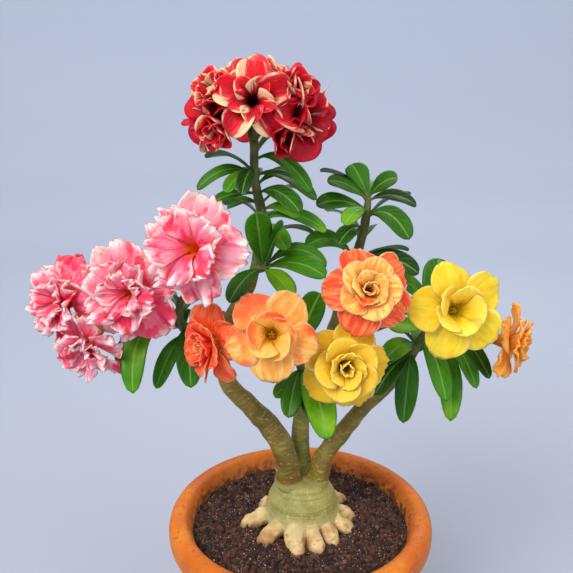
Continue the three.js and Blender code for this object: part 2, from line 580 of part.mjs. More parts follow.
// A leaf is [place along its shoot, tip x, y, z, width, arch].
const STEMS = {
  stem_top: {
    shoots: [
      {
        points: [...growFrom(TOP_LIMB), [-35, 0, 420], [-33, 0, 441], [-38, 0, 470], [-38, 0, 500]],
        radii: [4.6, 4.6, 4.2, 4, 3.6, 3.4],
        steps: 7,
        leaves: [
          [0.82, -84, -6, 464, 12, 9], [0.82, -60, -22, 463, 12, 6], [0.84, -47, -28, 462, 12, 7],
          [0.72, -72, -14, 454, 10, 3], [0.66, -62, 12, 446, 10, 4], [0.9, 7, -16, 463, 13, 12],
          [0.82, 12, 2, 455, 13, 8], [0.76, 8, 24, 466, 13, 10], [0.72, -2, -28, 449, 16, 8],
          [0.62, -2, -8, 441, 12, 6], [0.55, 20, -6, 430, 13, 9], [0.5, -12, -24, 418, 15, 6],
        ],
        spirals: [{
          count: 7, from: 0.4, to: 0.92, middle: 95, spread: 170, length: 46, lift: 14, width: 15, arch: 7,
        }],
      },
      {
        points: [[-39, 0, 396], [-34, -10, 398], [-30, -17, 400]],
        radii: [3.6, 3.2, 2.4],
        steps: 2,
        leaves: [
          [0.8, -36, -32, 451, 19, 1], [0.9, -15, -42, 441, 22, 3], [0.9, 20, -14, 403, 14, 14],
          [1, 18, -40, 401, 18, 7], [0.8, -8, -48, 386, 15, 4], [0.6, -58, -34, 378, 15, 5],
        ],
      },
    ],
    flowers: [
      [0, 1, 'red_front'], [0, 0.98, 'red_left'], [0, 1, 'red_top'],
      [0, 0.98, 'red_rear'], [0, 1, 'red_crown'], [0, 0.98, 'red_right'],
    ],
  },
  stem_upright: {
    shoots: [
      {
        points: [...growFrom(MIDDLE_BRANCH), [51, 20, 416], [55, 20, 438], [56, 20, 452]],
        radii: [5, 4.6, 4, 3.6, 2.6],
        leaves: [
          [0.95, 21, 16, 468, 15, 4], [1, 42, 32, 480, 18, 2], [1, 79, 13, 470, 18, 4],
          [0.95, 98, 26, 446, 14, 6], [0.7, 88, -4, 423, 19, 12], [0.8, 12, 8, 449, 17, 5],
          [0.8, 34, -12, 436, 13, 5], [0.6, 30, -4, 418, 14, 6], [0.3, 4, 8, 414, 18, 12],
          [0.15, 99, 6, 392, 20, 10], [0.1, 110, 22, 366, 18, 8],
        ],
        spirals: [{
          count: 6, from: 0.3, to: 1, middle: 90, spread: 160, length: 48, lift: 22, width: 17, arch: 5,
        }],
      },
    ],
    flowers: [[0, 0.25, 'coral_double']],
  },
  stem_centre: {
    shoots: [
      {
        points: [...growFrom(CENTRE_SPUR), [-2, -26, 322], [-7, -36, 337]],
        radii: [3.8, 3.6, 3.4, 2.6],
        leaves: [
          [0.45, 19, -72, 279, 22, 16], [0.3, 9, -50, 284, 16, 8], [0.5, -11, -54, 288, 16, 9],
          [0.3, -22, -30, 294, 12, 4], [0.9, 14, -44, 390, 20, 2], [0.6, 34, -30, 308, 15, 8],
          [0.7, -38, -22, 322, 14, 8],
        ],
      },
    ],
    flowers: [[0, 1, 'coral_side'], [0, 1, 'peach'], [0, 1, 'yellow_low']],
  },
  stem_right: {
    shoots: [
      {
        points: [...growFrom(RIGHT_BRANCH), [103, -3, 336], [109, -6, 350]],
        radii: [5, 4.6, 4, 3],
        leaves: [
          [1, 117, 14, 404, 21, 1], [0.3, 87, -22, 268, 17, 14], [0.4, 124, -34, 276, 18, 22],
          [0.6, 116, -48, 300, 16, 12], [0.3, 60, -36, 300, 16, 6], [0.5, 68, -34, 330, 17, 6],
          [0.8, 72, -22, 352, 17, 4], [0.2, 58, -20, 318, 16, 6],
        ],
        spirals: [{
          count: 7, from: 0.25, to: 1, middle: 85, spread: 180, length: 50, lift: 6, width: 17, arch: 9,
        }],
      },
      {
        points: [[103, -3, 336], [120, -4, 342], [134, -7, 345]],
        radii: [3.4, 3, 2.4],
        steps: 3,
        leaves: [
          [0.6, 155, -30, 312, 13, 8], [0.4, 143, -36, 306, 13, 10], [0.8, 168, 14, 368, 13, 4],
          [0.7, 150, 28, 352, 15, 8],
        ],
      },
    ],
    flowers: [[0, 1, 'yellow_right'], [1, 1, 'orange_side']],
  },
  stem_left: {
    shoots: [
      {
        points: [...growFrom(LEFT_LIMB), [-100, -18, 354], [-98, -26, 376]],
        radii: [4.6, 4.2, 3.8, 2.8],
        leaves: [
          [0.5, -133, -58, 312, 18, 20], [0.5, -153, -24, 324, 15, 10], [0.3, -120, -32, 304, 14, 8],
          [0.4, -90, -40, 308, 19, 14], [0.6, -74, -40, 340, 14, 6], [0.9, -78, -8, 392, 15, 3],
        ],
        spirals: [{
          count: 6, from: 0.3, to: 1, middle: 125, spread: 130, length: 48, lift: 8, width: 17, arch: 8,
        }],
      },
      {
        points: [[-100, -18, 354], [-120, -12, 364], [-140, -10, 370]],
        radii: [3.4, 3, 2.4],
        steps: 3,
        leaves: [[0.6, -150, 26, 350, 15, 8], [0.9, -178, 14, 352, 15, 6]],
      },
    ],
    flowers: [
      [0, 1, 'pink_top'], [1, 0.6, 'pink_middle'], [1, 1, 'pink_left'], [1, 0.9, 'pink_low'],
    ],
  },
};

// ---------------------------------------------------------------- the plant in its pot

const MATERIALS = {
  terracotta: { color: 0xe08834, roughness: 0.8 },
  soil: { color: 0x4c3626, roughness: 1 },
  bark: { color: 0x9c9556, roughness: 0.75 },
  leaf: { color: 0x35702a, roughness: 0.45 },
  red: { color: 0xa3101d, roughness: 0.55 },
  pink: { color: 0xf58aa5, roughness: 0.6 },
  coral: { color: 0xf0653a, roughness: 0.55 },
  peach: { color: 0xf99d52, roughness: 0.55 },
  yellow: { color: 0xeebf22, roughness: 0.55 },
  orange: { color: 0xf08c3c, roughness: 0.55 },
};

const group = new THREE.Group();

function addPart(name, solid, finish) {
  const material = new THREE.MeshStandardMaterial({ ...MATERIALS[finish], metalness: 0 });
  const mesh = new THREE.Mesh(toGeometry(mainBody(solid)), material);
  mesh.name = name;
  group.add(mesh);
}

const bloomsOf = (names) => fuse(names.map((name) => bloom(BLOOMS[name])));

addPart('pot', makePot(), 'terracotta');
addPart('soil', makeSoil(), 'soil');
addPart('trunk', makeTrunk(), 'bark');
Object.entries(STEMS).forEach(([name, stem]) => addPart(name, makeStem(stem), 'leaf'));

addPart('bloom_red_front', bloomsOf(['red_front', 'red_right']), 'red');
addPart('bloom_red_crown', bloomsOf(['red_left', 'red_top', 'red_crown']), 'red');
addPart('bloom_red_rear', bloomsOf(['red_rear']), 'red');
addPart('bloom_pink_bunch', bloomsOf(['pink_left', 'pink_low']), 'pink');
addPart('bloom_pink_middle', bloomsOf(['pink_middle']), 'pink');
addPart('bloom_pink_top', bloomsOf(['pink_top']), 'pink');
addPart('bloom_coral_side', bloomsOf(['coral_side']), 'coral');
addPart('bloom_peach', bloomsOf(['peach']), 'peach');
addPart('bloom_yellow_low', bloomsOf(['yellow_low']), 'yellow');
addPart('bloom_coral_double', bloomsOf(['coral_double']), 'coral');
addPart('bloom_yellow_right', bloomsOf(['yellow_right']), 'yellow');
addPart('bloom_orange_side', bloomsOf(['orange_side']), 'orange');

export default group;
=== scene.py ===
"""A grafted desert rose in its terracotta pot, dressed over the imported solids. Metres, +Z up."""

import math
import random

import bpy
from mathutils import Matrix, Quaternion, Vector
from mathutils.kdtree import KDTree
from mathutils.noise import noise


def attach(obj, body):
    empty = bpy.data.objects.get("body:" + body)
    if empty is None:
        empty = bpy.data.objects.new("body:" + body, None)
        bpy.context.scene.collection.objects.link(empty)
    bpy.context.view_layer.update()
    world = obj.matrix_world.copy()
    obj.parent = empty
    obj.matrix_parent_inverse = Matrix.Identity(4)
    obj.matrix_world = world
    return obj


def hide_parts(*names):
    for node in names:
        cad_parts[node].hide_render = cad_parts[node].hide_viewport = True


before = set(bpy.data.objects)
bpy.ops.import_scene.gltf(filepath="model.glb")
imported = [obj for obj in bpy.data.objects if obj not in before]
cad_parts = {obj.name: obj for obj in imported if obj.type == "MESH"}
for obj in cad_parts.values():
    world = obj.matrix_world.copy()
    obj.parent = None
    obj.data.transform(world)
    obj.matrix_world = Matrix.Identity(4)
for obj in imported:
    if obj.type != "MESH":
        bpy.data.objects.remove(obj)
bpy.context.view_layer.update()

# -------------------- the pot
# A thrown pot of soft orange terracotta with a rounded rim band. Its body tapers to a flat foot
# with five drainage holes. Soil dust and damp have stained the lip and the inside of the wall.

MM = 0.001
UP = Vector((0, 0, 1))


class Shell:
    """The points and faces of a piece while it is made, in millimetres, with painted values."""

    def __init__(self, *paints):
        self.points = []
        self.faces = []
        self.finishes = []
        self.paints = {name: [] for name in paints}

    def point(self, place, **values):
        self.points.append(place)
        for name, kept in self.paints.items():
            kept.append(values.get(name, 0.0))
        return len(self.points) - 1

    def face(self, *corners, finish=0):
        self.faces.append(corners)
        self.finishes.append(finish)

    def bands(self, rings, finish=0):
        """Quads between closed rings with as many points each."""
        for lower, upper in zip(rings, rings[1:]):
            for i in range(len(lower)):
                j = (i + 1) % len(lower)
                self.face(lower[i], lower[j], upper[j], upper[i], finish=finish)

    def fan(self, middle, ring):
        for i in range(len(ring)):
            self.face(middle, ring[i], ring[(i + 1) % len(ring)])

    def cap(self, ring, finish=0):
        for i in range(1, len(ring) - 1):
            self.face(ring[0], ring[i], ring[i + 1], finish=finish)

    def tube(self, rings, finish=0):
        """Rings from foot to head, closed at both ends."""
        self.bands(rings, finish)
        self.cap(rings[0][::-1], finish)
        self.cap(rings[-1], finish)

    def sheet(self, rows):
        for low, high in zip(rows, rows[1:]):
            for j in range(len(low) - 1):
                self.face(low[j], low[j + 1], high[j + 1], high[j])

    def piece(self, name, *finishes):
        mesh = bpy.data.meshes.new(name)
        mesh.from_pydata([tuple(p * MM) for p in self.points], [], self.faces)
        for finish in finishes:
            mesh.materials.append(finish)
        mesh.polygons.foreach_set("material_index", self.finishes)
        mesh.polygons.foreach_set("use_smooth", [True] * len(mesh.polygons))
        for paint, values in self.paints.items():
            mesh.attributes.new(paint, "FLOAT", "POINT").data.foreach_set("value", values)
        mesh.update()
        made = bpy.data.objects.new(name, mesh)
        bpy.context.scene.collection.objects.link(made)
        return made


def spoke(angle, radius=1, z=0):
    return Vector((radius * math.cos(angle), radius * math.sin(angle), z))


def circle(radius, z, sides):
    """Points round the Z axis, the first of them towards +X."""
    return [spoke(2 * math.pi * i / sides, radius, z) for i in range(sides)]


def settled(piece):
    """The same piece with its modifiers made into plain mesh."""
    bpy.context.view_layer.update()
    seen = piece.evaluated_get(bpy.context.evaluated_depsgraph_get())
    mesh = bpy.data.meshes.new_from_object(seen)
    piece.modifiers.clear()
    piece.data = mesh
    return piece


def colour(red, green, blue):
    """A screen colour from 0 to 255, as the linear light that shaders use."""
    def linear(value):
        value /= 255
        return value / 12.92 if value < 0.04045 else ((value + 0.055) / 1.055) ** 2.4
    return (linear(red), linear(green), linear(blue), 1)


class Reading:
    """A number or colour that varies over a surface. Sums of readings become shader nodes."""

    def __init__(self, finish, socket):
        self.finish = finish
        self.socket = socket

    def __add__(self, other):
        return self.finish.sum("ADD", self, other)

    def __sub__(self, other):
        return self.finish.sum("SUBTRACT", self, other)

    def __rsub__(self, other):
        return self.finish.sum("SUBTRACT", other, self)

    def __mul__(self, other):
        return self.finish.sum("MULTIPLY", self, other)

    def __pow__(self, other):
        return self.finish.sum("POWER", self, other)

    def __abs__(self):
        return self.finish.sum("ABSOLUTE", self)

    def rise(self, low, high):
        """0 below low, 1 above high, and a soft rise in between."""
        wires = {"Value": self, "From Min": low, "From Max": high}
        return self.finish.node("MapRange", wires, interpolation_type="SMOOTHSTEP")

    def lay(self, share, mask, tone):
        """This colour with a share of another tone laid over it where the mask is."""
        return self.finish.mix(mask if share == 1 else mask * share, self, tone)


class Finish:
    """A surface finish under construction. Colours are screen colours from 0 to 255."""

    def __init__(self, name, **sockets):
        self.material = bpy.data.materials.new(name)
        self.material.use_nodes = True
        self.tree = self.material.node_tree
        self.shader = self.tree.nodes["Principled BSDF"]
        for socket, value in sockets.items():
            self.feed(self.shader.inputs[socket.replace("_", " ")], value)
        self.place = self.node("TexCoord", {}, "Object")

    def feed(self, socket, value):
        if isinstance(value, Reading):
            self.tree.links.new(value.socket, socket)
        else:
            socket.default_value = colour(*value) if socket.type == "RGBA" else value

    def node(self, kind, wires, output=0, **settings):
        node = self.tree.nodes.new("ShaderNode" + kind)
        for name, value in settings.items():
            setattr(node, name, value)
        for name, value in wires.items():
            self.feed(node.inputs[name], value)
        return Reading(self, node.outputs[output])

    def sum(self, operation, *values):
        return self.node("Math", dict(enumerate(values)), operation=operation)

    def grain(self, scale, detail=3, stretch=None, where=None):
        """Soft noise from 0 to 1. A scale of 100 makes features about 10 mm wide."""
        spot = where or self.place
        if stretch:
            spot = self.node("Mapping", {"Scale": stretch, "Vector": spot})
        return self.node("TexNoise", {
            "Vector": spot, "Scale": scale, "Detail": detail, "Roughness": GRAIN_ROUGHNESS,
        })

    def cells(self, scale, output="Distance"):
        return self.node("TexVoronoi", {"Vector": self.place, "Scale": scale}, output)

    def axis(self, name):
        return self.node("SeparateXYZ", {0: self.place}, name)

    def painted(self, name):
        return self.node("Attribute", {}, "Fac", attribute_name=name)

    def mix(self, share, first, second):
        return self.node("Mix", {0: share, 6: first, 7: second}, 2, data_type="RGBA")

    def coat(self, base, rough, height, depth):
        """Ends the finish with its colour, its roughness and a relief that is `depth` mm deep."""
        relief = self.node("Bump", {"Distance": depth * MM, "Height": height})
        for socket, value in (("Base Color", base), ("Roughness", rough), ("Normal", relief)):
            self.feed(self.shader.inputs[socket], value)
        return self.material


POT_HEIGHT = 170
POT_RIM_RADIUS = 120
POT_MOUTH_RADIUS = 102
POT_FOOT_RADIUS = 80
POT_FLOOR = 10
RIM_BAND_HEIGHT = 27
RIM_PROUD = 8
POT_SEGMENTS = 144
FOOT_CHAMFER = 4
DRAIN_HOLES = 5
DRAIN_RADIUS = 5
DRAIN_CIRCLE_RADIUS = 42
BAND_FOOT = POT_HEIGHT - RIM_BAND_HEIGHT
POT_TAPER = (POT_RIM_RADIUS - RIM_PROUD - POT_FOOT_RADIUS) / BAND_FOOT
GRAIN_ROUGHNESS = 0.55
# In metres: the middle of the wall less its taper, and where soil splashes end on the lip.
WALL_MIDDLE = (0.0705, 0.0755)
SPLASH_LINE = (0.172, 0.163)


def inside_radius(z):
    return POT_MOUTH_RADIUS - (POT_HEIGHT - z) * POT_TAPER


def eased(corners, longest, rounds):
    """A profile with its long runs split and its corners worn round; its ends stay."""
    line = [Vector(corners[0])]
    for start, end in zip(corners, corners[1:]):
        start, end = Vector(start), Vector(end)
        parts = max(1, math.ceil((end - start).length / longest))
        line += [start.lerp(end, (i + 1) / parts) for i in range(parts)]
    for _ in range(rounds):
        cut = [line[0]]
        for start, end in zip(line, line[1:]):
            cut += [start.lerp(end, 0.25), start.lerp(end, 0.75)]
        line = cut + [line[-1]]
    return line


def throw_pot():
    rim, foot, mouth, lip = POT_RIM_RADIUS, POT_FOOT_RADIUS, POT_MOUTH_RADIUS, POT_HEIGHT
    neck = rim - RIM_PROUD
    floor_radius = inside_radius(POT_FLOOR + 6)
    corners = [
        (foot - 3, 0), (foot, 3), (neck, BAND_FOOT - 0.5), (neck + 0.3, BAND_FOOT),
        (rim - 3, BAND_FOOT + 2), (rim - 0.6, BAND_FOOT + 7), (rim, BAND_FOOT + 14),
        (rim - 0.4, BAND_FOOT + 19), (rim - 2.4, BAND_FOOT + 24), (rim - 7, lip), (mouth + 6, lip),
        (mouth + 1.6, lip - 2.4), (inside_radius(lip - 10), lip - 10),
        (floor_radius, POT_FLOOR + 6), (floor_radius - 6, POT_FLOOR),
    ]
    shell = Shell()
    rings = []
    for radius, z in eased(corners, 9, 2):
        ring = []
        for spot in circle(radius, z, POT_SEGMENTS):
            dent = 0.35 * (1 - noise(spot * 0.02)) + 0.15 * noise(spot * 0.06)
            outward = Vector((spot.x, spot.y, 0)) / radius
            ring.append(shell.point(spot - outward * max(dent, 0) if z > FOOT_CHAMFER else spot))
        rings.append(ring)
    shell.bands(rings)
    shell.fan(shell.point(Vector((0, 0, 0))), rings[0][::-1])
    shell.fan(shell.point(UP * POT_FLOOR), rings[-1])
    return shell


def terracotta():
    clay = Finish("terracotta", Roughness=0.75, Specular_IOR_Level=0.25)
    x, y, height = (clay.axis(name) for name in "XYZ")
    cloud = clay.grain(14, 4)
    base = clay.mix(cloud.rise(0.3, 0.7), (192, 90, 14), (214, 124, 32))
    base = base.lay(0.5, clay.grain(60, 5).rise(0.5, 0.8), (230, 150, 56))
    base = base.lay(0.6, clay.grain(230, 4).rise(0.56, 0.68), (146, 70, 26))
    from_axis = (x * x + y * y) ** 0.5 - height * POT_TAPER
    inside = 1 - (from_axis + clay.grain(45, 5) * 0.012).rise(*WALL_MIDDLE)
    stain = clay.mix(clay.grain(160, 5).rise(0.42, 0.62), (190, 112, 58), (84, 52, 30))
    splashed = (height + clay.grain(60, 4) * 0.012).rise(*SPLASH_LINE) * 0.7 + 0.16
    base = base.lay(1, inside * splashed, stain)
    damp = height.rise(0.06, 0.0) * clay.grain(30, 4).rise(0.3, 0.7)
    base = base.lay(0.3, damp, (232, 196, 160))
    pores = clay.grain(420, 4) + clay.grain(70, 3) * 1.4
    turning = clay.grain(30, 2, stretch=(0.3, 0.3, 11))
    return clay.coat(base, cloud.rise(-0.6, 1.6), pores + turning, 0.45)


pot = throw_pot().piece("thrown_pot", terracotta())
drills = Shell()
for centre in circle(DRAIN_CIRCLE_RADIUS, 0, DRAIN_HOLES):
    drills.tube([
        [drills.point(centre + spot) for spot in circle(DRAIN_RADIUS, z, 24)]
        for z in (-5, POT_FLOOR + 5)
    ])
drill_bits = drills.piece("drill_bits")
cut = pot.modifiers.new("drain_holes", "BOOLEAN")
cut.object = drill_bits
cut.solver = "EXACT"
settled(pot)
bpy.data.objects.remove(drill_bits)
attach(pot, "root")
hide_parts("pot")

# -------------------- the soil
# A loose dark mix of peat, bark and grit, filled to just under the lip and heaped a little round
# the plant. Pale pumice and perlite grains lie among the dark crumbs.

SOIL_LEVEL = 158
SOIL_EDGE_LEVEL = 154
SOIL_RINGS = 56
SOIL_SPOKES = 150
SOIL_FOOT = 16
SOIL_FLOOR = 10.3
CAUDEX_CENTRE = Vector((2, 0, 0))


def soil_height(x, y):
    radius = math.hypot(x, y)
    edge = min(max((radius - 55) / 43, 0), 1)
    level = SOIL_LEVEL - 0.6 - (SOIL_LEVEL - SOIL_EDGE_LEVEL) * edge ** 1.6
    spot = Vector((x, y, 0))
    lumps = 1.5 * noise(spot * 0.045) + 1.1 * noise(spot * 0.13)
    crumbs = 0.7 * noise(spot * 0.42) + 0.35 * noise(spot * 1.1)
    heap = 1.6 * math.exp(-((math.hypot(x - CAUDEX_CENTRE.x, y) - 50) / 9) ** 2)
    return min(level + lumps + crumbs + heap, SOIL_LEVEL + 3)


def fill_soil():
    """The filled soil, and its top skin by itself for the grains to lie on."""
    fill, top = Shell(), Shell()
    edge_radius = inside_radius(SOIL_EDGE_LEVEL) + 0.1
    for shell in (fill, top):
        rings = [
            [shell.point(spot + UP * soil_height(spot.x, spot.y))
             for spot in circle(edge_radius * (k + 1) / SOIL_RINGS, 0, SOIL_SPOKES)]
            for k in range(SOIL_RINGS)
        ]
        shell.fan(shell.point(UP * soil_height(0, 0)), rings[0])
        for inner, outer in zip(rings, rings[1:]):
            shell.bands([outer[::-1], inner[::-1]])
        if shell is fill:
            foot_radius = inside_radius(SOIL_FOOT)
            wall, floor = (
                [shell.point(spot) for spot in circle(radius, z, SOIL_SPOKES)]
                for radius, z in ((foot_radius - 0.3, SOIL_FOOT), (foot_radius - 6, SOIL_FLOOR))
            )
            shell.bands([floor, wall, rings[-1]])
            shell.cap(floor[::-1])
    return fill, top


def soil_finish():
    mix = Finish("soil", Roughness=0.95)
    base = mix.mix(mix.grain(35, 4).rise(0.35, 0.65), (38, 21, 14), (76, 46, 30))
    base = base.lay(1, mix.grain(260, 3).rise(0.45, 0.6), (30, 19, 15))
    base = base.lay(1, mix.cells(330, "Color").rise(0.82, 0.9), (120, 92, 70))
    return mix.coat(base, 0.95, mix.grain(300, 5) + mix.cells(420), 1.6)


def grain_finish(name, dark, pale, rough):
    """The colour of crumbs or grains, which differs from one grain to the next."""
    grit = Finish(name, Roughness=rough)
    base = grit.mix(grit.painted("shade"), dark, pale).lay(0.35, grit.grain(700, 3), dark)
    return grit.coat(base, rough, grit.grain(900, 3), 0.3)


class Tree:
    """A Geometry Nodes tree with named inputs, for what repeats over a surface."""

    def __init__(self, name, **inputs):
        self.group = bpy.data.node_groups.new(name, "GeometryNodeTree")
        for way in ("INPUT", "OUTPUT"):
            self.group.interface.new_socket(
                name="Geometry", in_out=way, socket_type="NodeSocketGeometry")
        self.settings = {}
        for label, value in inputs.items():
            kind = "NodeSocket" + {int: "Int", float: "Float"}.get(type(value), "Material")
            socket = self.group.interface.new_socket(name=label, in_out="INPUT", socket_type=kind)
            self.settings[socket.identifier] = value
        self.entry = self.group.nodes.new("NodeGroupInput").outputs

    def add(self, kind, wires, output=0, **settings):
        """Adds a node, and returns one of its outputs. A wire named in words is a tree input."""
        node = self.group.nodes.new(kind)
        for name, value in settings.items():
            setattr(node, name, value)
        for name, value in wires.items():
            if isinstance(value, str):
                value = self.entry[value]
            if isinstance(value, bpy.types.NodeSocket):
                self.group.links.new(value, node.inputs[name])
            else:
                node.inputs[name].default_value = value
        return node.outputs[output]

    def grow_on(self, piece, result):
        """Runs the tree on a piece and leaves its result as that piece's plain mesh."""
        self.group.links.new(result, self.group.nodes.new("NodeGroupOutput").inputs[0])
        modifier = piece.modifiers.new(self.group.name, "NODES")
        modifier.node_group = self.group
        for identifier, value in self.settings.items():
            modifier[identifier] = value
        return settled(piece)


def scatter(piece, finish, spacing, density, smallest, largest, flatness, rounds, seed):
    """Turns the top of the soil into irregular grains that lie strewn over it."""
    tree = Tree(piece.name, Spacing=spacing, Density=density, Smallest=smallest, Largest=largest,
                Rounds=rounds, Seed=seed, Finish=finish)
    spots = tree.add(
        "GeometryNodeDistributePointsOnFaces",
        {"Mesh": "Geometry", "Distance Min": "Spacing", "Density Max": "Density", "Seed": "Seed"},
        distribute_method="POISSON",
    )
    ball = tree.add("GeometryNodeMeshIcoSphere", {"Radius": 1.0, "Subdivisions": "Rounds"})
    warp = tree.add("ShaderNodeTexNoise", {"Scale": 0.9, "Detail": 1.0}, "Color")
    centred = tree.add("ShaderNodeVectorMath", {0: warp, 1: (0.5, 0.5, 0.5)}, operation="SUBTRACT")
    dents = tree.add("ShaderNodeVectorMath", {0: centred, 1: (2.2, 2.2, 1.4)}, operation="MULTIPLY")
    grain = tree.add("GeometryNodeSetPosition", {"Geometry": ball, "Offset": dents})
    turn = tree.add("FunctionNodeRandomValue", {"Max": (6.28, 6.28, 6.28), "Seed": 5},
                    data_type="FLOAT_VECTOR")
    draw = tree.add("FunctionNodeRandomValue", {"Seed": 7}, 1, data_type="FLOAT")
    small = tree.add("ShaderNodeMath", {0: draw, 1: 2.0}, operation="POWER")
    size = tree.add("ShaderNodeMapRange",
                    {"Value": small, "To Min": "Smallest", "To Max": "Largest"})
    wide = tree.add("ShaderNodeCombineXYZ", {"X": 1.0, "Y": 0.8, "Z": flatness})
    scale = tree.add("ShaderNodeVectorMath", {0: wide, "Scale": size}, operation="SCALE")
    placed = tree.add("GeometryNodeInstanceOnPoints",
                      {"Points": spots, "Instance": grain, "Rotation": turn, "Scale": scale})
    shade = tree.add("FunctionNodeRandomValue", {"Seed": 11}, 1, data_type="FLOAT")
    marked = tree.add("GeometryNodeStoreNamedAttribute",
                      {"Geometry": placed, "Value": shade}, data_type="FLOAT", domain="INSTANCE")
    marked.node.inputs["Name"].default_value = "shade"
    real = tree.add("GeometryNodeRealizeInstances", {"Geometry": marked})
    coated = tree.add("GeometryNodeSetMaterial", {"Geometry": real, "Material": "Finish"})
    tree.grow_on(piece, coated)


soil_fill, soil_top = fill_soil()
soil = soil_fill.piece("soil_fill", soil_finish())
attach(soil, "root")
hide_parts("soil")
# Each grit: dark and pale colour, roughness, then what scatter asks for.
for name, dark, pale, rough, *grains in (
    ("soil_crumbs", (12, 6, 8), (98, 64, 50), 0.95, 0.0024, 140000.0, 0.0009, 0.0036, 0.7, 2, 3),
    ("bark_chips", (50, 24, 20), (132, 80, 62), 0.9, 0.0038, 60000.0, 0.0008, 0.0030, 0.45, 1, 5),
    ("pumice_grains", (112, 92, 84), (226, 206, 190), 0.85, 0.0019, 90000.0, 0.0003, 0.0009, 0.8, 1,
     8),
):
    grit = soil_top.piece(name)
    scatter(grit, grain_finish(name, dark, pale, rough), *grains)
    grit.data.polygons.foreach_set("use_smooth", [False] * len(grit.data.polygons))
    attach(grit, "root")

# -------------------- the trunk
# One grown piece: a smooth water-storing caudex with blunt bare root fingers, and three branches.
# The left and right branches were grafted on, so each ends in a raised oval lip on the caudex.

# [azimuth in degrees, reach of the root's tip over the soil, thickness]
ROOTS = [
    (190, 52, 15), (227, 50, 15), (261, 49, 19), (283, 50, 15), (307, 47, 14), (337, 47, 14),
    (3, 46, 14), (40, 50, 14), (75, 46, 15), (110, 47, 14), (147, 44, 14),
]
CAUDEX_PROFILE = [
    (0, 126), (14, 128), (23, 140), (30, 154), (34.5, 164), (33.5, 174), (30.5, 184),
    (27, 191), (23, 197), (16, 203), (0, 206),
]
LEFT_BRANCH = [
    (-8, 0, 188), (-11, -8, 207), (-14, -12, 232), (-26, -15, 258), (-43, -18, 279),
    (-60, -20, 300), (-68, -16, 322),
]
LEFT_LIMB = [(-64, -19, 308), (-72, -17, 325), (-80, -16, 334), (-89, -15, 341)]
TOP_LIMB = [(-66, -18, 312), (-67, -13, 334), (-57, -5, 360), (-44, 0, 380), (-40, 0, 392)]
MIDDLE_BRANCH = [
    (2, 5, 188), (0, 8, 226), (1, 9, 254), (10, 11, 284), (25, 15, 325), (38, 19, 365),
    (44, 20, 388),
]
CENTRE_SPUR = [(9, 11, 282), (5, 2, 291), (3, -6, 299)]
RIGHT_BRANCH = [
    (10, 0, 188), (16, -6, 207), (21, -6, 226), (37, -4, 248), (56, 0, 271), (76, 0, 292),
    (92, 0, 315),
]
BRANCHES = [
    (LEFT_BRANCH, (14, 11.5, 10, 9.5, 8.5, 7.5, 6.5), 1.0),
    (LEFT_LIMB, (6, 6, 5.6, 5), 1.0),
    (TOP_LIMB, (6, 6, 5.6, 5.2, 4.8), 1.0),
    (MIDDLE_BRANCH, (12, 8.5, 7.5, 7, 6.5, 6, 5.2), 0.35),
    (CENTRE_SPUR, (4.5, 4.5, 4), 0.35),
    (RIGHT_BRANCH, (13, 9.5, 8.2, 7.6, 7, 6.4, 5.5), 1.0),
]
# Each lip of a graft: middle, which way its loop leans, radius.
GRAFT_LIPS = [((-11, -8.5, 203), (-0.15, -0.35, 1), 10.2), ((15, -5.5, 203), (0.2, -0.25, 1), 8.6)]
CAUDEX_SIDES = 48
BARK_VOXEL = 1.25
BRANCH_STATIONS = 200
SCAR_PITCH = 3.9
RING_PITCH = 2.4


class Course:
    """A smooth course through points, as a shoot or branch grows: even at the bends."""

    def __init__(self, points):
        self.points = [Vector(p) for p in points]

    def at(self, t):
        last = len(self.points) - 1
        along = min(max(t, 0), 1) * last
        k = min(int(along), last - 1)
        w = along - k
        p1, p2 = self.points[k], self.points[k + 1]
        p0 = self.points[k - 1] if k > 0 else p1 * 2 - p2
        p3 = self.points[k + 2] if k + 2 <= last else p2 * 2 - p1
        d0, d1, d2 = ((b - a).length ** 0.5 for a, b in ((p0, p1), (p1, p2), (p2, p3)))
        leave = ((p1 - p0) / d0 - (p2 - p0) / (d0 + d1) + (p2 - p1) / d1) * d1
        reach = ((p2 - p1) / d1 - (p3 - p1) / (d1 + d2) + (p3 - p2) / d2) * d1
        return (
            p1 + leave * w + (p1 * -3 + p2 * 3 - leave * 2 - reach) * w ** 2
            + (p1 * 2 - p2 * 2 + leave + reach) * w ** 3
        )

    def heading(self, t):
        return (self.at(t + 1e-4) - self.at(t - 1e-4)).normalized()


def radius_at(radii, t):
    spot = t * (len(radii) - 1)
    low = min(int(spot), len(radii) - 2)
    return radii[low] + (radii[low + 1] - radii[low]) * (spot - low)


def grow_limb(shell, course, radii, sides, steps, finish=0, knobs=0.0, wrinkles=0.0, **values):
    """A closed round limb along a course, its radii spread evenly over its length."""
    across = None
    rings = []
    for step in range(steps + 1):
        t = step / steps
        heading = course.heading(t)
        if across is None:
            across = Vector((1, 0, 0)) if abs(heading.z) > 0.9 else UP.copy()
        across = (across - heading * across.dot(heading)).normalized()
        other = across.cross(heading)
        centre = course.at(t)
        ring = []
        for i in range(sides):
            angle = 2 * math.pi * i / sides
            outward = across * math.cos(angle) + other * math.sin(angle)
            radius = radius_at(radii, t)
            skin = centre + outward * radius
            radius *= 1 + knobs * noise(skin * 0.11) + wrinkles * noise(skin * 0.45)
            ring.append(shell.point(centre + outward * radius, **values))
        rings.append(ring)
    shell.tube(rings[::-1], finish)


def root_course(azimuth, reach):
    out = spoke(math.radians(azimuth))
    stations = ((12, 170), (26, 167), (reach - 12, 163), (reach - 3, 156), (reach, 146),
                (reach, 132))
    return Course([CAUDEX_CENTRE + out * distance + UP * z for distance, z in stations])


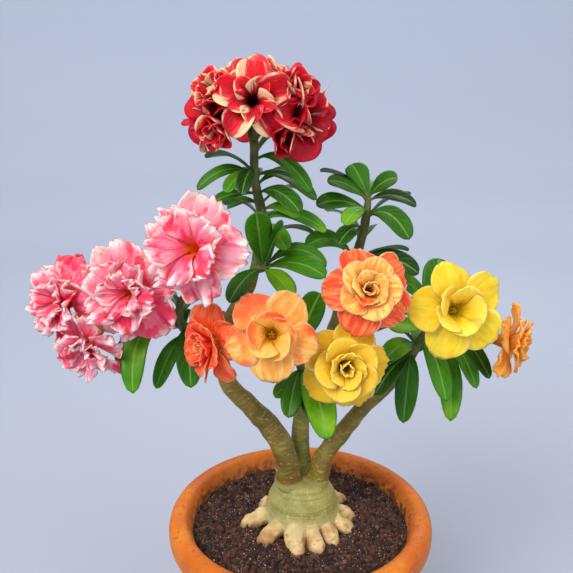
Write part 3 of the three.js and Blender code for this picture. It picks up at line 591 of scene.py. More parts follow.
def grow_trunk():
    body = Shell()
    body.tube([
        [body.point(CAUDEX_CENTRE + spot) for spot in circle(radius, z, CAUDEX_SIDES)]
        for radius, z in eased(CAUDEX_PROFILE, 5, 2)[1:-1]
    ])
    for points, radii, _ in BRANCHES:
        grow_limb(body, Course(points), radii, 24, 60, knobs=0.12)
    for azimuth, reach, thickness in ROOTS:
        toe = Course([root_course(azimuth, reach).at(share) for share in (0, 0.2, 0.34)])
        grow_limb(body, toe, (thickness * 0.5, thickness * 0.52, thickness * 0.44), 20, 16)
    for lip, tilt, radius in GRAFT_LIPS:
        lean = Vector(tilt).normalized()
        side = lean.orthogonal().normalized()
        turns = (Quaternion(lean, 2 * math.pi * i / 40) for i in range(41))
        loop = [Vector(lip) + turn @ side * radius for turn in turns]
        grow_limb(body, Course(loop), (2.5, 2.5), 12, 120)
    return body


def grow_roots():
    """The bare root fingers: blunt, knobbly and wrinkled, each sunk into the caudex."""
    fingers = Shell()
    for azimuth, reach, thickness in ROOTS:
        radii = [thickness / 2 * share for share in (0.9, 0.95, 1.08, 1.04, 0.9, 0.5)]
        grow_limb(fingers, root_course(azimuth, reach), radii, 36, 60, knobs=0.3, wrinkles=0.1)
    return fingers


def carve_bark(trunk):
    """Rings, scars and pores in the bark, and how far each point lies up its branch."""
    tree = KDTree(len(BRANCHES) * (BRANCH_STATIONS + 1))
    stations = []
    for points, _, warmth in BRANCHES:
        course = Course(points)
        run = 0
        before = course.at(0)
        for i in range(BRANCH_STATIONS + 1):
            spot = course.at(i / BRANCH_STATIONS)
            run += (spot - before).length
            before = spot
            tree.insert(spot, len(stations))
            stations.append((run, warmth))
    tree.balance()
    mesh = trunk.data
    warm, ringed, carved = [], [], []
    for place, normal in [(v.co.copy(), v.normal.copy()) for v in mesh.vertices]:
        spot = place / MM
        run, warmth = stations[tree.find(spot)[1]]
        branch = min(max((spot.z - 200) / 7, 0), 1)
        drum = (1 - branch) * min(max((spot.z - 165) / 8, 0), 1)
        wobble = 1.6 * noise(spot * 0.05)
        fold = math.sin((run + wobble * 3 + 1.5 * noise(spot * 0.14)) * 2 * math.pi / SCAR_PITCH)
        scar = min(max(0.5 + 1.6 * noise(spot * 0.09), 0), 1) * max(fold, 0) ** 4
        scars = branch * (0.17 * scar + 0.3 * noise(spot * 0.13))
        drum_rings = drum * 0.15 * math.sin((spot.z + wobble * 1.6) * 2 * math.pi / RING_PITCH)
        skin = 0.3 * noise(spot * 0.12) + 0.09 * noise(spot * 0.55)
        carved.extend(place + normal * (scars + drum_rings + skin) * MM)
        warm.append(warmth * branch)
        ringed.append(branch * scar)
    mesh.vertices.foreach_set("co", carved)
    for name, values in (("warmth", warm), ("rings", ringed)):
        mesh.attributes.new(name, "FLOAT", "POINT").data.foreach_set("value", values)
    mesh.update()


def bark_finish():
    bark = Finish("bark", Roughness=0.55)
    x, height = bark.axis("X"), bark.axis("Z")
    cloud = bark.grain(55, 4).rise(0.35, 0.65)
    level = (bark.grain(70, 4) - 0.5) * 0.012 + height
    hoops = bark.grain(50, 3, stretch=(0.25, 0.25, 9)).rise(0.5, 0.66)
    lines = bark.grain(120, 2, stretch=(5, 5, 0.4)).rise(0.56, 0.64)
    drum = bark.mix(cloud, (162, 158, 92), (140, 138, 70))
    drum = drum.lay(0.5, x.rise(0.0, 0.03), (160, 148, 60)).lay(0.42, hoops, (134, 130, 56))
    drum = drum.lay(0.25, lines, (214, 208, 144))
    grey_green = bark.mix(cloud, (106, 110, 44), (134, 136, 66))
    rust = bark.grain(26, 4).rise(0.52, 0.68)
    olive = bark.mix(cloud, (106, 92, 24), (134, 118, 38)).lay(0.75, rust, (108, 66, 34))
    dashes = bark.grain(240, 2, stretch=(0.7, 0.7, 2)).rise(0.62, 0.68)
    branch = bark.mix(bark.painted("warmth"), grey_green, olive)
    branch = branch.lay(0.55, bark.painted("rings"), (176, 164, 88))
    branch = branch.lay(0.5, dashes, (190, 186, 96))
    soiled = bark.mix(bark.grain(120, 4).rise(0.35, 0.6), (96, 66, 40), (176, 150, 100))
    base = bark.mix(level.rise(0.197, 0.207), drum, branch)
    base = base.lay(0.75, level.rise(0.182, 0.166), (208, 196, 146))
    base = base.lay(1, level.rise(0.163, 0.157), soiled)
    relief = bark.grain(180, 5) + hoops * 0.8
    return bark.coat(base, bark.grain(120, 3).rise(-0.9, 1.7), relief, 0.4)


def root_finish():
    """Root skin: cream, with old yellow-green nicks, and soil in its wrinkles near the ground."""
    root = Finish("root_skin", Roughness=0.62)
    height = root.axis("Z")
    grime = height + root.grain(110, 4) * 0.012
    nicks = root.grain(130, 3, stretch=(1, 1, 2)).rise(0.57, 0.65)
    base = root.mix(root.grain(70, 4).rise(0.35, 0.65), (194, 162, 104), (222, 198, 146))
    base = base.lay(0.8, root.grain(45, 5).rise(0.5, 0.62), (164, 116, 68))
    base = base.lay(0.8, nicks, (146, 134, 48))
    base = base.lay(0.75, height.rise(0.167, 0.174), (208, 196, 146))
    base = base.lay(0.8, grime.rise(0.1705, 0.1630), (122, 84, 48))
    relief = root.grain(150, 5) + root.grain(60, 3, stretch=(1, 1, 4)) * 1.2
    return root.coat(base, root.grain(90, 3).rise(-0.8, 1.6), relief, 0.7)


bark = bark_finish()
trunk = grow_trunk().piece("grafted_trunk", bark)
knit = trunk.modifiers.new("knit", "REMESH")
knit.mode = "VOXEL"
knit.voxel_size = BARK_VOXEL * MM
heal = trunk.modifiers.new("heal", "SMOOTH")
heal.iterations = 5
heal.factor = 0.6
settled(trunk)
trunk.data.materials.clear()
trunk.data.materials.append(bark)
carve_bark(trunk)
trunk.data.polygons.foreach_set("use_smooth", [True] * len(trunk.data.polygons))
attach(trunk, "root")
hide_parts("trunk")
roots = grow_roots().piece("root_fingers", root_finish())
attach(roots, "root")

# -------------------- the blooms
# Trumpet flowers of waxy petals, five to a ring, each ring set between the petals of the one
# outside it. A bloom is one skin: tube, rings of petals, and a hollow throat. The throats of the
# round blooms hold anthers.

PETAL_THICKNESS = 1.2
BLOOM_TUBE_LENGTH = 28
# Radius, and depth under the throat.
BLOOM_TUBE = ((3, 28), (3.1, 25), (3.4, 20), (3.9, 14), (4.9, 8), (6, 4))
PETALS_IN_RING = 5
PETAL_PAINTS = ("along", "across", "petal", "ring", "flush", "fold")
PETAL_TWIST = 0.2
PETAL_TILT = 0.13
PETAL_HALF_FLESH = 0.42
PETAL_HALF_RIM = 0.1
THROAT_TOP = 3
PETAL_ROUNDING = 0.17
ROOT_CROWDING = 0.75
# Each kind of bloom: points along and across one petal, how far the throat is sunk under the roots
# of the inner petals, and its rings. Each ring: width, midline as [distance from the axis, height
# over the throat] at root, bend and tip, cup, ruffle, how far the tip closes.
BLOOM_KINDS = {
    "star": ((14, 12), 14, (
        (25, ((6, -2), (17, 13), (33, 2)), 0.75, 0, 0.8),
        (19, ((4, -3), (9, 15), (20, 16)), 0.75, 0, 0.8),
    )),
    "bud": ((10, 10), 12, (
        (19, ((5, -2), (13, 12), (20, 19)), 0.9, 0, 0.8),
        (15, ((3.4, -3), (8, 14), (12, 23)), 0.9, 0, 0.8),
    )),
    "open": ((24, 48), 9, (
        (40, ((6, -2), (14, 5), (41, -5)), 0.05, 3.4, 0.74),
        (31, ((4, -3), (8, 14), (29, 15)), 0.1, 3, 0.74),
    )),
    "ruffled": ((22, 44), 7, (
        (40, ((6, -2), (14, 5), (41, -5)), 0.05, 3.4, 0.76),
        (30, ((4, -3), (8, 14), (29, 15)), 0.1, 3, 0.76),
        (19, ((2.6, -3), (4.5, 10), (18, 20)), 0.1, 2.4, 0.76),
    )),
    "frilled": ((18, 26), 6, (
        (37, ((6, -2), (14, 7), (39, -3)), 0.1, 1.5, 0.76),
        (29, ((4.4, -3), (8, 14), (28, 14)), 0.15, 1.3, 0.76),
        (19, ((2.8, -3), (5, 11), (17, 20)), 0.2, 1.1, 0.76),
    )),
    "round": ((16, 18), 8, (
        (34, ((6.4, -2), (14, 10), (37, 1)), 0.14, 0.7, 0.76),
        (24, ((5, -3), (10.5, 13), (18.5, 17)), 0.3, 0.5, 0.74),
    )),
    "rose": ((16, 16), 3, (
        (34, ((6, -2), (16, 9), (35, -4)), 0.15, 0.8, 0.76),
        (27, ((4.8, -3), (8.5, 14), (25, 16)), 0.25, 0.4, 0.72),
        (19, ((3.4, -3), (6, 13), (14, 20)), 0.3, 0.5, 0.74),
        (12, ((2, -3), (4, 9), (4.6, 19)), 0.3, 0.4, 0.78),
    )),
}
# Each bloom: kind, where its throat is, where it looks, spin, size, and how flushed it is.
BLOOMS = {
    "red_front": ("star", (-37, -40, 531), (0, -1, 0.15), 54, 0.9, 0.2),
    "red_left": ("star", (-67, -16, 520), (-0.9, -0.6, 0.1), 10, 0.9, 0.6),
    "red_top": ("star", (-49, -8, 540), (-0.4, -0.5, 1), 30, 0.86, 0),
    "red_rear": ("star", (-42, 38, 525), (-0.15, 1, 0.3), 0, 1, 0.5),
    "red_crown": ("star", (-15, -2, 537), (0.5, -0.4, 0.85), 22, 0.84, 0.4),
    "red_right": ("star", (-3, -27, 519), (0.8, -0.75, 0), 40, 0.98, 0.9),
    "red_low": ("bud", (-17, -29, 510), (0.5, -0.8, -0.4), 20, 0.86, 0.9),
    "red_under": ("bud", (-61, -28, 513), (-0.3, -0.85, -0.4), 50, 0.78, 0.5),
    "red_gap": ("bud", (-9, -27, 535), (0.45, -0.8, 0.4), 0, 0.85, 0.5),
    "red_upper": ("bud", (-62, -24, 535), (-0.5, -0.8, 0.45), 35, 0.85, 0.1),
    "pink_top": ("open", (-77, -89, 432), (-0.35, -0.95, 0.3), 15, 0.97, 0.5),
    "pink_middle": ("ruffled", (-131, -57, 391), (-0.3, -0.95, 0.1), 50, 1.03, 0.6),
    "pink_left": ("ruffled", (-186.5, -38, 379), (-0.62, -0.78, 0.15), 0, 0.95, 0.9),
    "pink_low": ("ruffled", (-168, -47, 345), (-0.33, -0.85, -0.45), 30, 0.8, 0.6),
    "coral_side": ("rose", (-66, -71, 355), (-0.8, -0.66, 0.05), 12, 0.9, 1),
    "peach": ("round", (-23, -95, 371), (-0.02, -0.95, 0.3), 18, 0.94, 0.5),
    "yellow_low": ("rose", (30, -80, 342), (0.1, -0.95, 0.15), 40, 0.98, 0.8),
    "coral_double": ("rose", (46, -77, 398), (0.05, -0.9, 0.4), 0, 0.95, 0.35),
    "yellow_right": ("round", (115, -60, 378), (0.08, -0.95, 0.3), 0, 1.04, 0.2),
    "orange_side": ("frilled", (168, -27, 341), (0.88, -0.47, -0.06), 25, 0.84, 0.5),
}


def petal_outline(u, close):
    return max(math.sin(math.pi * u ** 1.25 * close), 0) ** 0.7


def petal_point(ring, angle, scale, u, v, habit, pose):
    """A point of a petal's middle surface: u from root to tip, v from -1 to 1 across."""
    width, ((r0, z0), (r1, z1), (r2, z2)), cup, ruffle, close = ring
    reach = u * (1 - PETAL_ROUNDING * v * v)
    crumple = Vector((v * 2.2 + habit * 31, u * 1.4, habit * 17))
    phase = 4.6 * math.pi * v + habit * 40 + 3.4 * noise(crumple)
    notches = noise(Vector((v * 4, habit * 50, 0)))
    notches += 0.6 * noise(Vector((v * 11, habit * 50, 3)))
    scallop = 1 - abs(math.sin(phase / 2)) ** 0.9
    reach *= 1 + u ** 4 * (0.012 * notches - ruffle * (0.013 * scallop - 0.009 * notches))
    w = 1 - reach
    x = r0 * w * w + 2 * r1 * w * reach + r2 * reach * reach
    z = z0 * w * w + 2 * z1 * w * reach + z2 * reach * reach
    z += (x - r0) * PETAL_TILT * pose * reach
    run, climb = (r1 - r0) * w + (r2 - r1) * reach, (z1 - z0) * w + (z2 - z1) * reach
    slope = Vector((run, climb)).normalized()
    sector = x * math.tan(math.pi / PETALS_IN_RING) - PETAL_THICKNESS / 2
    half = min(width / 2 * petal_outline(u, close), sector * (ROOT_CROWDING + u)) * scale
    wave = ruffle * u ** 3 * math.cos(2 * math.pi * v + angle)
    frill = 0.8 * ruffle * u ** 4 * math.sin(phase) + 2.1 * ruffle * u ** 2 * noise(crumple * 0.9)
    hem = 0.3 * ruffle * u ** 10 * math.sin(11 * math.pi * v + habit * 60 + 4 * noise(crumple * 2))
    bend = 1.8 * u ** 2 * noise(Vector((v * 1.1 + habit * 23, u * 1.2, habit * 9)))
    lift = half * (cup * v * v + (PETAL_TWIST + 0.25 * pose) * v)
    lift += (wave + frill + hem + bend) * scale
    outward = x * scale - slope.y * lift
    height = z * scale + slope.x * lift
    spot = Quaternion(UP, angle) @ Vector((outward, v * half, height))
    fold = 0.5 + (frill + 2 * hem) / max(4 * ruffle, 1)
    return spot, fold


def grow_bloom(shell, name):
    """Adds one flower to a shell, its throat at its place and looking where it faces."""
    kind, at, facing, spin, scale, flush = BLOOMS[name]
    turn = UP.rotation_difference(Vector(facing).normalized()) @ Quaternion(UP, math.radians(spin))
    origin = Vector(at)
    (rows, columns), depth, rings = BLOOM_KINDS[kind]
    around = PETALS_IN_RING * columns
    habit_of = random.Random(name)

    def put(spot, **values):
        return shell.point(origin + turn @ spot, flush=flush, **values)

    def hoops(stations):
        """Closed hoops at [radius, height, how far along the flower they count]."""
        return [[put(spot, along=along) for spot in circle(radius, z, around)]
                for radius, z, along in stations]

    skins = hoops((radius, -z, -z / BLOOM_TUBE_LENGTH) for radius, z in BLOOM_TUBE)
    shell.fan(put(UP * -BLOOM_TUBE_LENGTH, along=-1), skins[0][::-1])
    for order, ring in enumerate(rings):
        root_radius, root_height = ring[1][0]
        offset = 0 if order % 2 == 0 else columns // 2
        inner = order / max(len(rings) - 1, 1)
        under, over = [], []
        for i in range(around):
            border = (i + offset) % columns == 0
            half = 0 if border else PETAL_THICKNESS / 2
            out = spoke(2 * math.pi * i / around)
            under.append(put(out * (root_radius + half) + UP * root_height, ring=inner))
            over.append(under[-1] if border
                        else put(out * (root_radius - half) + UP * root_height, ring=inner))
        shell.bands([*skins, under])
        skins = [over]
        for petal in range(PETALS_IN_RING):
            start = petal * columns - offset
            angle = 2 * math.pi * (start + columns / 2) / around
            habit = habit_of.random()
            pose = habit_of.uniform(-1, 1)
            shaped = [
                [petal_point(ring, angle, scale, u, 2 * j / columns - 1, habit, pose)
                 for j in range(columns + 1)]
                for u in ((row / rows) ** 0.85 for row in range(rows + 1))
            ]
            middle = [[spot for spot, _ in line] for line in shaped]
            lower, upper = (
                [[loop[(start + j) % around] for j in range(columns + 1)]] for loop in (under, over)
            )
            for row in range(1, rows + 1):
                lower.append([])
                upper.append([])
                for j, (spot, fold) in enumerate(shaped[row]):
                    v = 2 * j / columns - 1
                    values = {"along": row / rows, "across": v, "petal": habit, "ring": inner,
                              "fold": fold}
                    if j in (0, columns) or row == rows:
                        lower[row].append(put(spot, **values))
                        upper[row].append(lower[row][-1])
                        continue
                    normal = (middle[row + 1][j] - middle[row - 1][j]).cross(
                        middle[row][j + 1] - middle[row][j - 1]).normalized()
                    half = PETAL_HALF_FLESH * (1 - v ** 4) ** 0.5 + PETAL_HALF_RIM
                    lower[row].append(put(spot - normal * half, **values))
                    upper[row].append(put(spot + normal * half, **values))
            shell.sheet(lower)
            shell.sheet(upper[::-1])
    inner_radius = rings[-1][1][0][0] - PETAL_THICKNESS / 2
    skins += hoops((inner_radius * share, -THROAT_TOP - depth * sunk, -0.02 - 0.1 * sunk)
                   for share, sunk in ((0.95, 0.15), (0.85, 0.4), (0.7, 0.7), (0.5, 0.95)))
    shell.bands(skins)
    shell.fan(put(UP * (-THROAT_TOP - depth), along=-0.12), skins[-1])
    if kind == "round":
        grow_anthers(shell, origin, turn, -THROAT_TOP - depth, inner_radius)


def grow_anthers(shell, origin, turn, foot, radius):
    """Five anthers that lean together into a cone in the throat."""
    stations = ((0.6, foot + 0.4), (0.62, foot * 0.5), (0.3, -1), (0.12, 1.5))
    for out in circle(radius, 0, 5):
        course = Course([origin + turn @ (out * share + UP * z) for share, z in stations])
        grow_limb(shell, course, (0.5, 0.62, 0.5, 0.12), 8, 12, along=0.02, ring=1.0)


class PetalFinish(Finish):
    """A waxy petal. Its streaks and veins run from root to tip, and each petal has its own."""

    def __init__(self, name, gloss):
        super().__init__(name, Roughness=gloss, Subsurface_Weight=0.45, Subsurface_Scale=0.006,
                         Subsurface_Radius=(1, 0.7, 0.55), Specular_IOR_Level=0.3)
        self.gloss = gloss
        self.along, self.across, self.which, self.ring, self.flush, self.fold = (
            self.painted(paint) for paint in PETAL_PAINTS)
        spot = self.node("CombineXYZ", {
            0: self.across * 3.2 + self.which * 90, 1: self.along * 1.3, 2: self.ring * 7,
        })
        self.streaks = self.grain(1.6, 4, where=spot)
        self.veins = self.grain(7, 2, where=spot)
        self.cloud = self.grain(45, 4)
        self.waver = self.streaks - 0.5
        end = self.sum("MAXIMUM", self.along, 0) ** 6
        self.rim = self.sum("MAXIMUM", abs(self.across) ** 3, end)

    def ragged(self, value, low, high, waver):
        """A rise whose front is torn along the petal's streaks."""
        return (self.waver * waver + value).rise(low, high)

    def finished(self, body, throat, tube, reach=0.3):
        body = body.lay(1, self.ragged(self.along, reach, 0.03, 0.3), throat)
        body = body.lay(1, self.along.rise(-0.16, -0.4), tube)
        rough = self.veins.rise(-self.gloss, 3 * self.gloss)
        return self.coat(body, rough, self.veins * 0.6 + self.streaks, 0.5)


def red_petals():
    """Crimson with a ragged cream margin, broad on one side of each petal."""
    petal = PetalFinish("red_petals", 0.34)
    body = petal.mix(petal.streaks.rise(0.35, 0.6), (230, 4, 30), (186, 0, 34))
    body = body.lay(0.8, petal.flush.rise(0.5, 1.3), (124, 0, 22))
    lopsided = petal.across * (petal.which.rise(0.49, 0.51) * 2 - 1)
    margin = petal.sum("MAXIMUM", lopsided, petal.rim * 0.38) - petal.flush * 0.5
    grown = petal.along.rise(0.16, 0.42)
    body = body.lay(0.72, petal.ragged(margin, 0.0, 0.42, 1.9) * grown, (244, 78, 84))
    body = body.lay(0.94, petal.ragged(margin, 0.3, 0.62, 1.9) * grown, (254, 214, 164))
    body = body.lay(0.4, petal.veins.rise(0.56, 0.66), (176, 0, 18))
    return petal.finished(body, (78, 0, 12), (120, 60, 40), 0.46)


def pink_petals():
    """Pink, white towards its frilled edge, hot pink in its depths, with a magenta hem."""
    petal = PetalFinish("pink_petals", 0.5)
    body = petal.mix(petal.cloud.rise(0.4, 0.62), (255, 166, 180), (254, 118, 146))
    white = petal.waver * 0.9 + (petal.fold * 0.5 + petal.rim)
    body = body.lay(0.85, white.rise(0.5, 0.94), (255, 230, 222))
    body = body.lay(0.75, petal.fold.rise(0.44, 0.2), (242, 40, 102))
    depths = petal.cloud * 0.3 + petal.along - petal.flush * 0.36
    body = body.lay(0.85, petal.ragged(depths, 0.66, 0.2, 1.5), (238, 24, 88))
    blotch = petal.grain(52, 3).rise(0.54, 0.62) * petal.flush.rise(-0.5, 0.8)
    body = body.lay(0.9, blotch, (240, 18, 84))
    body = body.lay(0.4, petal.veins.rise(0.58, 0.68), (240, 60, 110))
    hem = petal.ragged(petal.rim, 0.86, 1.0, 0.4) * petal.cloud.rise(0.3, 0.5)
    body = body.lay(0.9, hem, (228, 26, 92))
    return petal.finished(body, (240, 110, 24), (206, 130, 96))


def coral_petals():
    """Coral red outside, with pale edges, and peach to cream in the inner rings."""
    petal = PetalFinish("coral_petals", 0.4)
    streaked = petal.streaks.rise(0.4, 0.6)
    outer = petal.mix(streaked, (252, 72, 30), (254, 132, 74))
    inner = petal.mix(streaked, (254, 172, 74), (254, 208, 116))
    ringed = petal.ring - petal.flush.rise(0.5, 0.9) * 0.75
    body = petal.mix(petal.ragged(ringed, 0.05, 0.4, 0.4), outer, inner)
    body = body.lay(0.75, petal.cloud.rise(0.54, 0.68), (248, 50, 22))
    body = body.lay(0.5, petal.ragged(petal.rim, 0.7, 1.0, 0.7), (255, 204, 156))
    body = body.lay(0.35, petal.flush.rise(0.5, 1.4), (240, 40, 22))
    return petal.finished(body, (246, 150, 40), (196, 110, 40))


def peach_petals():
    """Apricot, flushed coral on some petals, with a pale inner ring and an olive throat."""
    petal = PetalFinish("peach_petals", 0.4)
    body = petal.mix(petal.streaks.rise(0.4, 0.62), (252, 160, 66), (255, 192, 110))
    body = body.lay(0.6, petal.ring, (255, 194, 100))
    flushed = petal.which.rise(0.2, 0.4) * petal.ragged(petal.along, 0.35, 0.75, 0.9)
    body = body.lay(0.85, flushed * petal.cloud.rise(0.4, 0.56), (250, 74, 36))
    body = body.lay(0.55, petal.ragged(petal.rim, 0.66, 1.0, 0.8), (255, 190, 138))
    return petal.finished(body, (226, 170, 22), (190, 140, 60), 0.42)


def yellow_petals():
    """Clear yellow, paler at the rim, deeper in the outer rings of the flushed bloom."""
    petal = PetalFinish("yellow_petals", 0.4)
    body = petal.mix(petal.streaks.rise(0.38, 0.62), (246, 204, 30), (252, 222, 66))
    body = body.lay(0.85, petal.flush, (226, 160, 0))
    body = body.lay(0.7, petal.ring * petal.along.rise(0.2, 0.9), (254, 226, 92))
    body = body.lay(0.55, petal.ragged(petal.rim, 0.6, 1.0, 0.9), (255, 232, 118))
    body = body.lay(0.35, petal.cloud.rise(0.55, 0.7), (240, 164, 8))
    return petal.finished(body, (214, 184, 16), (180, 160, 50), 0.36)


def orange_petals():
    petal = PetalFinish("orange_petals", 0.4)
    body = petal.mix(petal.streaks.rise(0.4, 0.62), (252, 150, 40), (254, 184, 84))
    body = body.lay(0.7, petal.cloud.rise(0.5, 0.66), (250, 112, 26))
    body = body.lay(0.5, petal.ragged(petal.rim, 0.7, 1.0, 0.7), (254, 180, 110))
    return petal.finished(body, (230, 130, 16), (176, 98, 14))


PETAL_FINISHES = {
    "petal_red": red_petals(), "petal_pink": pink_petals(), "petal_coral": coral_petals(),
    "petal_peach": peach_petals(), "petal_yellow": yellow_petals(), "petal_orange": orange_petals(),
}
# A node with no flowers listed holds the one flower of its own name.
for bunch, names in (
    ("red_front", ("red_front", "red_right", "red_low", "red_gap")),
    ("red_crown", ("red_left", "red_top", "red_crown", "red_under", "red_upper")),
    ("red_rear", ()), ("pink_bunch", ("pink_left", "pink_low")), ("pink_middle", ()),
    ("pink_top", ()), ("coral_side", ()), ("peach", ()), ("yellow_low", ()), ("coral_double", ()),
    ("yellow_right", ()), ("orange_side", ()),
):
    shell = Shell(*PETAL_PAINTS)
    for name in names or (bunch,):
        grow_bloom(shell, name)
    node = "bloom_" + bunch
    slot = "petal_" + bunch.split("_")[0]
    flowers = shell.piece("petals_" + bunch, PETAL_FINISHES[slot])
    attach(flowers, "root")
    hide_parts(node)

# -------------------- leafy stems
# Green succulent shoots with thick glossy leaves crowded near their ends. The flower stalks grow
# from the shoot's tip; each ends in a calyx cup with five pointed sepals under its flower.

LEAF_FOLD = 0.22
LEAF_ROLL = 0.1
LEAF_DROOP = 0.045
LEAF_BREADTH = 1.15
LEAF_GRID = (18, 12)
LEAF_PAINTS = ("along", "across", "habit", "side")
FRONT_LIGHT = Vector((0, -0.7, 1))
REAR_LIGHT = Vector((0, 0.4, 1))
GOLDEN_ANGLE = 137.5
SEAT_GAP = 0.3
CALYX_HEIGHT = 5
CALYX_NECK = 6
PEDICEL_RADIUS = 1.7
SEPALS = 5


def grow_from(branch):
    """The first two points of a stem that grows on from the end of a branch."""
    end, before = Vector(branch[-1]), Vector(branch[-2])
    direction = (end - before).normalized()
    start = end + direction * SEAT_GAP
    return [tuple(start - direction * 1.5), tuple(start + direction * 6)]


# A stem is [its shoots, its flowers as (shoot, place along it, bloom)]. A shoot is [points, radii,
# leaves, spirals]. A leaf is [place along its shoot, tip x, y, z, width, arch, and how far it
# sways to the right if it does]. A spiral is [count, from, to, middle, spread, length, lift,
# width, arch].
STEMS = {
    "stem_top": ([
        ([*grow_from(TOP_LIMB), (-35, 0, 420), (-33, 0, 441), (-38, 0, 470), (-38, 0, 500)],
         (4.6, 4.6, 4.2, 4, 3.6, 3.4),
         [(0.82, -84, -6, 464, 12, 9), (0.82, -60, -22, 463, 12, 6), (0.84, -47, -28, 462, 12, 7),
          (0.72, -72, -14, 454, 10, 3), (0.66, -62, 12, 446, 10, 4), (0.9, 7, -16, 463, 13, 12),
          (0.82, 12, 2, 455, 13, 8), (0.76, 8, 24, 466, 13, 10), (0.72, -2, -28, 449, 16, 8),
          (0.62, -2, -8, 441, 12, 6), (0.55, 20, -6, 430, 13, 9), (0.5, -12, -24, 418, 15, 6)],
         [(7, 0.4, 0.92, 95, 170, 46, 14, 15, 7)]),
        ([(-39, 0, 396), (-34, -10, 398), (-30, -17, 400)], (3.6, 3.2, 2.4),
         [(0.8, -36, -32, 451, 19, 1), (0.9, -15, -42, 441, 22, 3), (0.9, 20, -14, 403, 14, 14),
          (1, 18, -40, 401, 18, 7), (0.8, -8, -48, 386, 15, 4), (0.6, -58, -34, 378, 15, 5)], []),
    ], [
        (0, 1, "red_front"), (0, 0.98, "red_left"), (0, 1, "red_top"), (0, 0.98, "red_rear"),
        (0, 1, "red_crown"), (0, 0.98, "red_right"), (0, 0.95, "red_low"), (0, 0.95, "red_under"),
        (0, 1, "red_gap"), (0, 1, "red_upper"),
    ]),
    "stem_upright": ([
        ([*grow_from(MIDDLE_BRANCH), (51, 20, 416), (55, 20, 438), (56, 20, 452)],
         (5, 4.6, 4, 3.6, 2.6),
         [(0.95, 21, 16, 468, 15, 4), (1, 42, 32, 480, 18, 2), (1, 79, 13, 470, 18, 4),
          (0.95, 98, 26, 446, 14, 6), (0.7, 88, -4, 423, 19, 12), (0.8, 12, 8, 449, 17, 5),
          (0.8, 34, -12, 436, 13, 5), (0.6, 30, -4, 418, 14, 6), (0.3, 4, 8, 414, 18, 12),
          (0.15, 99, 6, 392, 20, 10), (0.1, 110, 22, 366, 18, 8)],
         [(6, 0.3, 1, 90, 160, 48, 22, 17, 5)]),
    ], [(0, 0.25, "coral_double")]),
    "stem_centre": ([
        ([*grow_from(CENTRE_SPUR), (-2, -26, 322), (-7, -36, 337)], (3.8, 3.6, 3.4, 2.6),
         [(0.45, 19, -72, 279, 22, 16), (0.3, 9, -50, 284, 16, 8), (0.5, -11, -54, 288, 16, 9),
          (0.3, -22, -30, 294, 12, 4), (0.9, 14, -44, 390, 20, 2), (0.6, 34, -30, 308, 15, 8),
          (0.7, -38, -22, 322, 14, 8)], []),
    ], [(0, 1, "coral_side"), (0, 1, "peach"), (0, 1, "yellow_low")]),
    "stem_right": ([
        ([*grow_from(RIGHT_BRANCH), (103, -3, 336), (109, -6, 350)], (5, 4.6, 4, 3),
         [(1, 117, 14, 404, 21, 1), (0.3, 87, -22, 268, 17, 14), (0.4, 124, -34, 276, 18, 22, 18),
          (0.6, 116, -48, 300, 16, 12), (0.3, 60, -36, 300, 16, 6), (0.5, 68, -34, 330, 17, 6),
          (0.8, 72, -22, 352, 17, 4), (0.2, 58, -20, 318, 16, 6)],
         [(7, 0.25, 1, 85, 180, 50, 6, 17, 9)]),
        ([(103, -3, 336), (120, -4, 342), (134, -7, 345)], (3.4, 3, 2.4),
         [(0.6, 155, -30, 312, 13, 8), (0.4, 143, -36, 306, 13, 10), (0.8, 168, 14, 368, 13, 4),
          (0.7, 150, 28, 352, 15, 8)], []),
    ], [(0, 1, "yellow_right"), (1, 1, "orange_side")]),
    "stem_left": ([
        ([*grow_from(LEFT_LIMB), (-100, -18, 354), (-98, -26, 376)], (4.6, 4.2, 3.8, 2.8),
         [(0.5, -133, -58, 312, 18, 20, -26), (0.5, -153, -24, 324, 15, 10, -12),
          (0.3, -120, -32, 304, 14, 8), (0.4, -90, -40, 308, 19, 14), (0.6, -74, -40, 340, 14, 6),
          (0.9, -78, -8, 392, 15, 3)],
         [(6, 0.3, 1, 125, 130, 48, 8, 17, 8)]),
        ([(-100, -18, 354), (-120, -12, 364), (-140, -10, 370)], (3.4, 3, 2.4),
         [(0.6, -150, 26, 350, 15, 8), (0.9, -178, 14, 352, 15, 6)], []),
    ], [(0, 1, "pink_top"), (1, 0.6, "pink_middle"), (1, 1, "pink_left"), (1, 0.9, "pink_low")]),
}


def leaf_outline(u):
    swell = math.sin(math.pi / 2 * min(u / 0.7, 1)) ** 1.3
    tip = math.sqrt(max(1 - (max(u - 0.7, 0) / 0.3) ** 2.4, 0))
    return max(0.15 * (1 - u ** 6), swell * tip)


